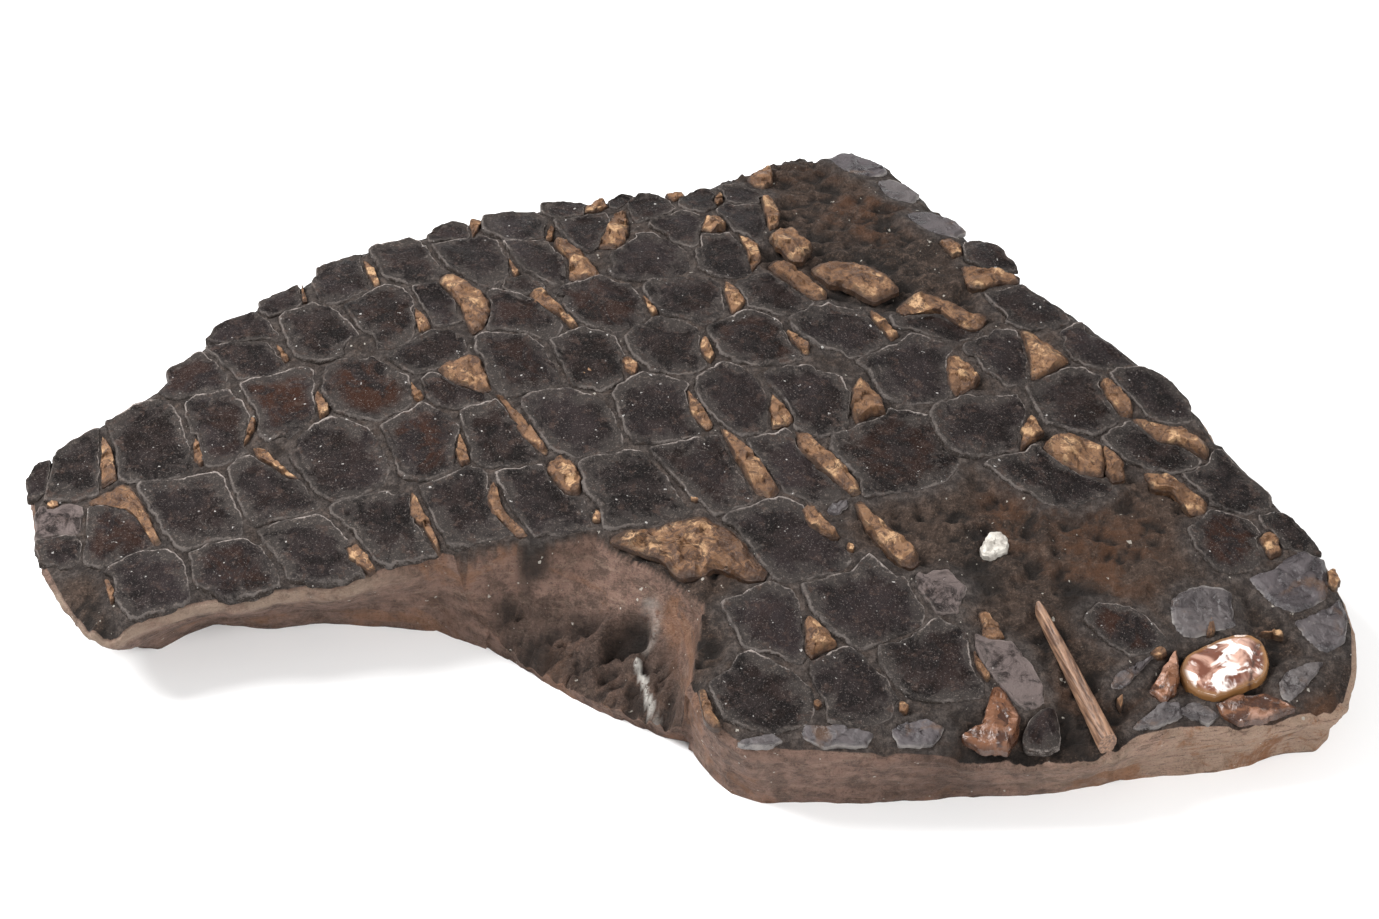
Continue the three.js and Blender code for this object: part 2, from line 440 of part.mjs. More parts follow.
function scalePlate(outline) {
  const foot = grown(outline, SCALE_SPREAD);
  const rim = grown(outline, -SCALE_BEVEL);
  const [mx, my] = middle(rim);
  return loft(
    [
      raised(foot, () => 0),
      raised(foot, (x, y) => dome(x, y) - SCALE_FOOT),
      raised(rim, (x, y) => dome(x, y) + SCALE_PROUD),
    ],
    [mx, my, dome(mx, my) + SCALE_PROUD + SCALE_CROWN],
  );
}

function bonePiece(outline, rise) {
  const foot = grown(outline, -0.2);
  const [mx, my] = middle(outline);
  const shrunk = outline.map(([x, y]) => [mx + (x - mx) * 0.5, my + (y - my) * 0.5]);
  return loft([
    raised(foot, (x, y) => dome(x, y) - BONE_DEPTH),
    raised(foot, (x, y) => dome(x, y) + 0.4),
    raised(shrunk, (x, y) => dome(x, y) + rise),
  ]);
}

function rayOutline(extra) {
  const [start, end] = [new THREE.Vector2(...RAY.from), new THREE.Vector2(...RAY.to)];
  const along = end.clone().sub(start).normalize();
  const across = new THREE.Vector2(-along.y, along.x);
  const corner = (point, end, side, width) =>
    point
      .clone()
      .addScaledVector(along, extra * end)
      .addScaledVector(across, side * (width / 2 + extra))
      .toArray();
  return anticlockwise([
    corner(start, -1, 1, RAY.widths[0]),
    corner(end, 1, 1, RAY.widths[1]),
    corner(end, 1, -1, RAY.widths[1]),
    corner(start, -1, -1, RAY.widths[0]),
  ]);
}

// The separate bodies of a cut solid, largest first, without crumbs.
function bodies(whole, least = SMALLEST_PIECE) {
  const found = whole.decompose().filter((body) => body.volume() > least);
  return found.sort((a, b) => b.volume() - a.volume());
}

function place(name, shape, material) {
  const mesh = shape.getMesh();
  const geometry = new THREE.BufferGeometry();
  geometry.setAttribute("position", new THREE.BufferAttribute(mesh.vertProperties, 3));
  geometry.setIndex(new THREE.BufferAttribute(mesh.triVerts, 1));
  geometry.computeVertexNormals();
  const piece = new THREE.Mesh(geometry, new THREE.MeshStandardMaterial(material));
  piece.name = name;
  slab.add(piece);
}

// Scales: joined plates in one bed, cut where a bone lies among them.
const bed = (drop) => layer(BED_GRID, (x, y) => dome(x, y) - SCALE_DEPTH - drop, SLAB_TOP);
const pieces = PIECES.map(([name, rise, color, outline]) => ({
  name,
  rise,
  color,
  outline: withCorners(anticlockwise(outline), PIECE_CORNERS),
}));
const raySlot = column(rayOutline(GAP), (x, y) => dome(x, y) - RAY.sink - GAP);
const pieceSlots = union([
  raySlot,
  ...pieces.map(({ outline }) => column(grown(outline, GAP), (x, y) => dome(x, y) - BONE_DEPTH - GAP)),
]);
const scaleSlots = union(
  scaleOutlines.map((outline) => column(grown(outline, SCALE_SPREAD + GAP), () => -1)),
).intersect(bed(GAP));
const armour = union(scaleOutlines.map(scalePlate)).intersect(bed(0)).subtract(pieceSlots);

const sides = sideWalls();
const stone = sides.intersect(layer(FACE_GRID, -5, stoneHeight)).subtract(scaleSlots).subtract(pieceSlots);
place("stone_matrix", bodies(stone)[0], { color: 0x5f4b40, roughness: 0.95, metalness: 0 });

bodies(armour.intersect(sides)).forEach((part, i) => {
  const name = i === 0 ? "scale_armour" : `loose_scale_${i}`;
  place(name, part, { color: 0x2e2a2c, roughness: 0.35, metalness: 0 });
});

let taken = raySlot;
for (const { name, rise, color, outline } of pieces) {
  const shape = bodies(bonePiece(outline, rise).subtract(taken), 1)[0];
  place(name, shape, { color, roughness: 0.6, metalness: 0 });
  taken = taken.add(column(grown(outline, GAP), (x, y) => dome(x, y) - BONE_DEPTH - GAP));
}

const ray = loft([
  raised(rayOutline(0), (x, y) => dome(x, y) - RAY.sink),
  raised(rayOutline(0), (x, y) => dome(x, y) + RAY.rise * 0.6),
  raised(rayOutline(-0.7), (x, y) => dome(x, y) + RAY.rise),
]);
place("fin_ray", ray, { color: 0x8a6444, roughness: 0.6, metalness: 0 });

slab.position.set(...TO_MIDDLE, 0);

export default slab;
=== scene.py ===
"""Looks of a fossil fish slab: brown stone with an armour of dark rhombic scales and pieces of tan bone.

Outlines are in millimetres, seen from straight above, in the frame of the solids before they were moved to
the middle.
"""
import functools
import math

import bpy
import numpy as np
from bpy.props import FloatProperty, FloatVectorProperty, IntProperty, PointerProperty
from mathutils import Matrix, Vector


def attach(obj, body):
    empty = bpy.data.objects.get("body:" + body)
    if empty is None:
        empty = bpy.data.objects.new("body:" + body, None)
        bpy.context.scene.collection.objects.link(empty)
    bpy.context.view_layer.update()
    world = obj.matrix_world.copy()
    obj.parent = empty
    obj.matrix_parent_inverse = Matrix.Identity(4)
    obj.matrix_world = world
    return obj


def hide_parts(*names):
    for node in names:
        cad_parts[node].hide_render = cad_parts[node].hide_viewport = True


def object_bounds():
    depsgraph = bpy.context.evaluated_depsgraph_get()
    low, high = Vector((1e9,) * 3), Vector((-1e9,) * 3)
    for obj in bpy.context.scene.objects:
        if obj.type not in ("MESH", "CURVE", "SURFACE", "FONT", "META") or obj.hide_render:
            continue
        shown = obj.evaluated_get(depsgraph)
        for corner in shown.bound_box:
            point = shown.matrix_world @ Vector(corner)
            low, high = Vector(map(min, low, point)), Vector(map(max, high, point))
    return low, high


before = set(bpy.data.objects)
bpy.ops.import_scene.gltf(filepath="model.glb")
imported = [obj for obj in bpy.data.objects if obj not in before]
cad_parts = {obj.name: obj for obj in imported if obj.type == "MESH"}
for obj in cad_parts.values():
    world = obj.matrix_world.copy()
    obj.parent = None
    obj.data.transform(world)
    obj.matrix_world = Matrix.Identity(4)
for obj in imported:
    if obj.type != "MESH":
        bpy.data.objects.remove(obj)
CAD_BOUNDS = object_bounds()

bl_info = {
    "name": "Fossil fish slab",
    "version": (1, 0, 0),
    "blender": (4, 5, 0),
    "location": "3D View > Sidebar > Fossil",
    "description": "Dresses a slab of stone with fossil fish scales and bones",
    "category": "Object",
}

MM = 0.001
TO_MIDDLE = (0.85, 0.15)  # from the outlines' origin to the frame's, in mm
CROWN, FALL_X, FALL_BACK, FALL_FRONT = 37.0, 0.00045, 0.0013, 0.0008  # the slab's dome, as in the solids
HOLLOW_FOOT = 4.0
SHELF_SLOPE = 0.22
EDGE_INSET = 1.7  # how far the slab's upper edge is rounded in, in mm
# Heights of the rings of points on the slab's sides, as shares of the upper edge's height
SIDE_LEVELS = (
    0.985, 0.96, 0.925, 0.885, 0.84, 0.79, 0.73, 0.67, 0.61, 0.55, 0.49, 0.43, 0.37, 0.31, 0.25, 0.19, 0.13,
    0.08, 0.04, 0.0,
)

# How scales are widened, in mm: the stone left beside other scales, bones, the rim and the hollow, and the
# most an edge moves out, towards a neighbour and where there is none
SEAM, BONE_SEAM, RIM_SEAM, HOLLOW_SEAM = 0.7, 0.45, 2.6, 0.6
WIDEN_MOST, WIDEN_ALONE = 3.6, 1.3
WIDEN_POINTS = 120
SCALE_POINTS = 66  # points round one scale, which keep the whole armour under 200,000 triangles
BONE_POINTS = 72
PITTED = 1.2  # roughness from which a bone counts as pitted

# Camera of the photograph
CAMERA_ELEVATION = math.radians(44)
CAMERA_DISTANCE = 975.0
CAMERA_TARGET = (1.5, -21.0, 28.0)

# The slab's edge, anticlockwise from the tail: x, y, and how far its foot is drawn in
RIM = [
    (-168, -24.4, 14), (-166.6, -30, 15), (-164.5, -40, 16), (-161.2, -53, 17), (-154.6, -65, 17),
    (-146.8, -75, 17), (-138.4, -78, 18), (-130, -73.6, 18), (-120, -70.6, 18), (-112, -70, 17),
    (-100, -68.5, 16), (-83, -66.5, 16), (-70, -62.5, 10), (-61, -59, 4), (-50, -62.5, 1),
    (-40, -70.5, 1), (-30, -78.5, 1), (-20, -85, 1), (-10, -90.5, 1), (0, -97, 2),
    (4, -106, 3), (8, -112, 4), (14, -117, 7), (25, -118, 8), (40, -118.6, 8),
    (60, -118.6, 9), (78, -118.6, 9), (92, -118, 9), (100, -115.5, 9), (110, -110, 5),
    (120, -107, 3), (130, -106, 3), (140, -104, 3), (150, -100, 4), (158, -99, 4),
    (162, -94, 4), (165, -85, 4), (166.3, -72, 4), (165, -63, 4), (161, -51, 4),
    (157, -43, 4), (149, -31, 4), (141, -18, 4), (135, -6, 4), (121, 12.5, 4),
    (107, 30, 4), (92, 43, 4), (88, 55, 4), (80, 64, 4), (72, 83, 4),
    (64, 99, 4), (60, 111, 4), (56, 118.6, 4), (50, 118.6, 4), (45, 117, 4),
    (41, 113, 4), (37, 110, 4), (34, 114, 4), (26, 109.5, 4), (17, 101, 4),
    (6, 90, 4), (-4, 85.5, 4), (-15, 86, 4), (-24, 81, 4), (-35, 82, 4),
    (-42, 77.5, 4), (-55, 75, 4), (-72, 66, 5), (-88, 60, 5), (-103.5, 45, 6),
    (-114, 37, 6), (-126, 23, 7), (-138, 5.5, 8), (-152, -6, 9), (-160, -13.6, 11), (-166.9, -21.4, 13),
]
# A line along the slab's middle, which its sides face away from
SPINE = [(-118, -28), (-40, 18), (55, 40), (105, -50)]
# The broken hollow at the front: its upper edge, the rim of its foot, and the open ground before it
HOLLOW_EDGE = [
    (-64, -60.5), (-50, -57.5), (-42, -55.5), (-36, -57), (-22, -53), (-19, -57), (-10, -62), (0, -70),
    (5, -76), (3, -90), (1, -100), (1, -106),
]
HOLLOW_RIM = [(-64, -59), (-50, -62), (-40, -70), (-30, -78), (-20, -84.5), (-10, -90), (1, -97), (3, -108)]
HOLLOW_FRONT = [(1, -125), (-60, -125), (-64, -70)]
# The ridge beside the shelf at the back right
SHELF_RIDGE = [(36, 112), (44, 100), (50, 90), (58, 76), (68, 62)]

# Scales, row by row from the front to the back: enamel, 0 charcoal to 1 brown, and the outline of its
# polished face, which fitted_scales widens to the whole scale
DARK, WARM, BROWN, PALE = 0.0, 0.35, 0.8, -1.0
SCALES = [
    (DARK, [(10, -97), (17, -92), (22, -93), (28, -98), (31, -102), (31, -107), (26, -111), (20, -113),
            (10, -109), (6, -102)]),
    (DARK, [(31, -94.5), (39, -90.5), (43, -93), (48, -98), (50, -103), (49, -108), (43, -110),
            (36, -108), (33, -101)]),
    (DARK, [(48, -89), (56, -87), (62, -80.5), (65, -83), (69, -89), (71, -97), (69, -101), (62, -103),
            (54, -99), (48, -94)]),
    (PALE, [(73, -86), (79, -85), (82, -90), (85, -97), (86, -102), (82, -103), (77, -98), (73, -92)]),
    (BROWN, [(98.5, -78), (102, -73), (109, -73), (114, -77), (117, -81), (114, -85), (108, -86),
             (103, -82)]),
    (BROWN, [(127, -47), (131, -43), (137, -41.5), (142, -43), (144, -48), (143, -54), (140, -58),
             (133, -59), (128, -53)]),
    (DARK, [(146, -40), (152, -38), (158, -46), (160, -50), (154, -50), (148, -45)]),
    (DARK, [(10, -77), (21, -71), (24, -73), (27, -77), (29, -84), (29, -93), (15, -86)]),
    (DARK, [(31, -72), (42, -69), (46, -62.5), (49, -64), (54, -71), (58, -77), (57, -82), (50, -85),
            (44, -87), (40, -84), (33, -78)]),
    (PALE, [(59, -69), (62, -66), (65, -65), (68, -69), (67, -74), (62, -75)]),
    (DARK, [(135, -21), (140, -23), (144, -26), (149, -31), (148, -36), (141, -38), (132, -34),
            (128, -28)]),
    (DARK, [(12, -50), (22, -43), (29, -44), (36, -52), (40, -58), (41, -62), (33, -66), (27, -67.5),
            (22, -66), (17, -58)]),
    (DARK, [(79, -30), (88, -25), (91, -23), (100, -31), (109, -34), (103, -38), (98, -41), (92, -40),
            (84, -35)]),
    (DARK, [(107, -18), (113, -12), (120, -18), (128, -20), (133, -22), (131, -25), (122, -26),
            (113, -25)]),
    (DARK, [(-139, -54), (-134, -53), (-130, -53), (-126, -56), (-123, -59), (-121, -65), (-120, -69),
            (-127, -72), (-134, -74), (-140, -66), (-141, -60)]),
    (WARM, [(-122, -57), (-117, -54), (-110, -53.5), (-104, -55), (-100, -60), (-98, -66), (-106, -69.5),
            (-111, -70), (-120, -65.5)]),
    (DARK, [(-104, -50), (-95, -46), (-89, -49), (-85, -54), (-78, -64), (-86, -67), (-97, -65),
            (-101, -57)]),
    (DARK, [(-85, -44), (-77, -41), (-70, -41), (-67.5, -47), (-64, -53), (-60, -59), (-72, -62),
            (-75, -59), (-80, -50)]),
    (DARK, [(-63, -38), (-55, -33), (-50, -34), (-48.5, -41), (-46, -49), (-41, -54), (-50, -57),
            (-57, -56), (-60, -47)]),
    (DARK, [(-47, -34), (-40, -32), (-35, -31), (-32, -39), (-26, -43), (-23, -49), (-24, -53),
            (-30, -54), (-36, -52), (-42, -43)]),
    (DARK, [(-24, -31), (-16, -28), (-9, -28), (-4, -35), (0, -43), (2, -47), (-8, -50), (-15, -51.5),
            (-20, -50), (-23, -40)]),
    (DARK, [(-8, -27), (0, -24), (9, -22), (13, -31), (17, -40), (17, -44), (9, -46), (2, -43),
            (-3, -35)]),
    (DARK, [(18, -24), (25, -21), (28, -24), (33, -31), (38, -37), (40, -41), (30, -42), (24, -38),
            (20, -30)]),
    (WARM, [(38, -21), (45, -17), (52, -12), (66, -12), (68, -20), (66, -34), (58, -38), (46, -39),
            (41, -30)]),
    (DARK, [(62, -13), (72, -6), (86, -5), (87, -10), (84, -22), (74, -24), (66, -24)]),
    (DARK, [(90, -1), (98, 4.5), (103, 8), (106, 5), (108, -1), (111, -11), (104, -15.5), (96, -13),
            (91, -7)]),
    (DARK, [(113, 9), (122, 11), (127, 6), (131, 0), (130, -8), (122, -9), (118, -5), (114, 2)]),
    (PALE, [(-163.5, -37), (-158, -35.5), (-154, -36), (-152, -40), (-151, -45), (-157, -45),
            (-162.5, -46)]),
    (DARK, [(-163, -46), (-152, -45), (-150.5, -53), (-155, -53), (-161, -53)]),
    (WARM, [(-148.5, -37), (-141, -37), (-137, -40), (-133, -45), (-131, -51), (-140, -55),
            (-149, -53)]),
    (DARK, [(-137, -30.5), (-128, -31), (-119, -29), (-117, -33), (-113, -39), (-110, -45),
            (-110.5, -48.5), (-121, -50.5), (-126, -52.5), (-131, -42), (-134, -36)]),
    (DARK, [(-113, -25), (-108, -26), (-104, -29), (-99, -32), (-96, -36), (-93.5, -40.5), (-97, -44),
            (-107.5, -46.5), (-109.5, -40), (-112, -32)]),
    (DARK, [(-94, -16), (-88, -11), (-84, -14), (-79, -22), (-75.5, -30), (-76, -33), (-83, -38),
            (-91, -37), (-97, -25)]),
    (BROWN, [(-74, -14), (-67, -9.5), (-62, -12), (-58, -18), (-57, -25), (-58, -31), (-65, -33),
             (-69, -31), (-73, -22)]),
    (DARK, [(-55, -11), (-48, -8), (-46, -10), (-42, -18), (-38, -25), (-36, -29), (-44, -31),
            (-50, -30), (-54, -20)]),
    (DARK, [(-39, -8), (-30, -5), (-23, -7), (-17, -15), (-14.5, -22), (-16, -25), (-25, -27),
            (-30, -27), (-36, -19)]),
    (DARK, [(-16, -4), (-9, 3), (0, -3), (1, -8), (3, -15), (5, -20), (-2, -23), (-13, -23),
            (-16, -14)]),
    (DARK, [(5, -3), (12, 3), (18, -1), (21, -7), (22, -14), (22, -19), (15, -19), (9, -15), (6, -9)]),
    (DARK, [(21, 0), (28, 3), (40, 1), (43, -8), (43, -15), (42, -20), (35, -20), (30, -18), (26, -9)]),
    (DARK, [(47, 6), (60, 19), (68, 14), (69, 2), (66, -6), (58, -7), (52, -4)]),
    (DARK, [(76, 14), (80, 20), (87, 20), (89, 12), (89, 2), (83, 3), (78, 6)]),
    (DARK, [(103, 24), (108, 21), (113, 17), (118, 13), (112, 11), (104, 12), (100, 17)]),
    (DARK, [(-165, -18.5), (-161.6, -17.5), (-161.5, -30), (-166.3, -31), (-167.5, -24)]),
    (DARK, [(-161, -15), (-156, -11), (-151, -7), (-149, -20), (-149, -31), (-156, -32.5),
            (-161.5, -31.5)]),
    (DARK, [(-148.5, -6), (-143, -3), (-135, -2), (-130, -13), (-127, -20), (-125, -26), (-134, -28.5),
            (-143.5, -28), (-145, -20)]),
    (WARM, [(-126, 0), (-121, 0.5), (-113, -3), (-111, -8), (-112, -19), (-114, -23), (-121, -24),
            (-124, -15)]),
    (BROWN, [(-112, 3), (-103, 8), (-98.5, 6), (-96, -4), (-96.5, -13), (-104, -16), (-107, -14),
             (-109, -9)]),
    (BROWN, [(-90, 6), (-84, 9), (-77, 7), (-73, 2), (-70.5, -3), (-71, -8), (-78, -11), (-88, -10),
             (-91, -2)]),
    (DARK, [(-75, 9), (-73, 12), (-68, 18), (-62, 19), (-57, 12), (-62, 8), (-65, 4), (-70, 6)]),
    (DARK, [(-65.5, 4), (-58, -2), (-52, -4), (-50, -7), (-56, -9), (-62, -8), (-64, -2)]),
    (WARM, [(-53, 13), (-46, 19), (-41, 18), (-36, 11), (-33, 5), (-31, 0), (-36, -2), (-44, -4),
            (-48, -2), (-50, 6)]),
    (DARK, [(-34, 14), (-27, 18.5), (-22, 18), (-18, 12), (-16, 5), (-16, -1), (-22, -3.5), (-28, -2),
            (-31, 6)]),
    (DARK, [(-13, 18), (-5, 23), (0, 22), (4, 17), (5, 10), (4, 5), (-2, 2), (-9, 2), (-12, 10)]),
    (WARM, [(11, 22.5), (19, 25), (21, 23.5), (26, 16), (29, 9), (20, 6), (12, 11), (8, 18)]),
    (DARK, [(30, 24), (38, 27.5), (48, 28), (51, 20), (54, 14.5), (52, 13), (45, 10.5), (36, 13),
            (32, 18)]),
    (DARK, [(57, 24), (66, 28), (74, 24), (78, 21), (70, 19), (62, 20)]),
    (DARK, [(80, 36), (87, 40), (91, 42), (96, 38), (100, 34), (99, 28), (93, 25), (86, 28)]),
    (WARM, [(-135, 11), (-128, 18), (-125, 15), (-121, 8), (-122, 2), (-128, 1.5), (-133, 3)]),
    (DARK, [(-123.5, 19.5), (-108.5, 20), (-105.5, 15), (-103, 10), (-107, 6), (-112, 7), (-116, 11),
            (-120, 15)]),
    (DARK, [(-105, 29), (-100, 34), (-96, 33), (-91, 27), (-88, 21), (-90, 15), (-96, 12), (-100, 14),
            (-101, 20), (-104, 25)]),
    (WARM, [(-88, 34), (-81, 40), (-76, 38), (-72, 32), (-70, 26), (-70, 20), (-75, 15.5), (-79, 17),
            (-80, 22), (-85, 30)]),
    (DARK, [(-69.5, 38), (-65, 39), (-61.5, 32), (-60.5, 26), (-63, 24), (-66, 27), (-67, 30)]),
    (WARM, [(-50, 35), (-44, 34), (-41, 33), (-36, 26), (-33, 21), (-33, 17), (-40, 17.5), (-49, 21),
            (-50.5, 28)]),
    (DARK, [(-47, 41), (-42, 43.5), (-38, 40), (-37, 37), (-41, 35), (-46, 37)]),
    (WARM, [(-30, 36), (-23, 39.5), (-17, 38), (-12, 33), (-10, 27), (-11, 22), (-18, 20), (-25, 22),
            (-29, 30)]),
    (DARK, [(-9, 39.5), (5, 42), (10, 39), (11, 32), (12, 26), (5, 23), (-4, 24), (-8, 31)]),
    (DARK, [(15.5, 37), (19, 40.5), (24, 40), (30, 35), (32, 30), (26, 27.5), (18, 30)]),
    (DARK, [(76, 60), (80, 63), (85, 61), (89, 53), (90, 50), (82, 50.5), (76, 52)]),
    (DARK, [(-126, 22), (-121, 30), (-115, 33), (-112, 28), (-107, 22), (-112, 21.5), (-120, 20.5)]),
    (DARK, [(-113.5, 37), (-107, 42), (-102.5, 45), (-101.5, 40), (-100.5, 36), (-105, 33), (-111, 33)]),
    (DARK, [(-99, 50), (-92, 56), (-88.5, 57), (-86, 50), (-83.5, 40), (-90, 36), (-95, 38), (-98, 45)]),
    (DARK, [(-83, 60), (-75, 63), (-71, 61), (-67.5, 55), (-65.5, 49), (-66.5, 44), (-72, 43.5),
            (-77, 46), (-81, 53)]),
    (DARK, [(-68.5, 59), (-60, 61), (-51, 60), (-47.5, 52), (-45.5, 46), (-47, 42), (-53, 41), (-59, 45),
            (-64, 52)]),
    (DARK, [(-48, 60), (-36, 59), (-33, 52), (-31, 41), (-36, 40), (-42, 45), (-45, 52)]),
    (DARK, [(-14, 58), (-9, 63), (-4, 60), (1, 54), (3, 49), (2, 43), (-6, 40.5), (-17, 42), (-17, 50)]),
    (DARK, [(4.5, 62), (11, 63), (15, 57), (18, 50), (18, 44), (8, 42), (4, 45)]),
    (DARK, [(-68, 68), (-63, 71.5), (-59, 70), (-58, 63), (-68, 62)]),
    (DARK, [(-55, 73), (-47, 74.5), (-41, 76), (-38, 70), (-37, 62), (-44, 59), (-49, 62)]),
    (DARK, [(-35, 69), (-29, 70.5), (-21, 71), (-20, 66), (-22.5, 57), (-25, 54), (-28, 58), (-33, 65)]),
    (DARK, [(-9, 69), (0, 73.5), (5, 72), (4.5, 64), (4, 56), (-3, 58)]),
    (DARK, [(9, 74), (13, 77), (20, 78), (21, 70), (20, 62), (16, 61), (13, 66)]),
    (DARK, [(-39, 78), (-35, 80), (-28, 79.5), (-28, 73), (-33, 72), (-38, 74)]),
    (DARK, [(-21, 79.8), (-17, 84), (-15, 84), (-16, 79), (-19, 79.5)]),
    (DARK, [(-14.5, 79), (-10, 83), (-6, 81), (-4, 76), (-6, 71), (-10, 69.5), (-13, 73)]),
    (DARK, [(0, 80), (3, 83), (7, 83), (8, 78), (6, 75), (2, 75)]),
    (DARK, [(11, 84), (14, 88), (19, 86), (20, 80), (14, 78.5)]),
]

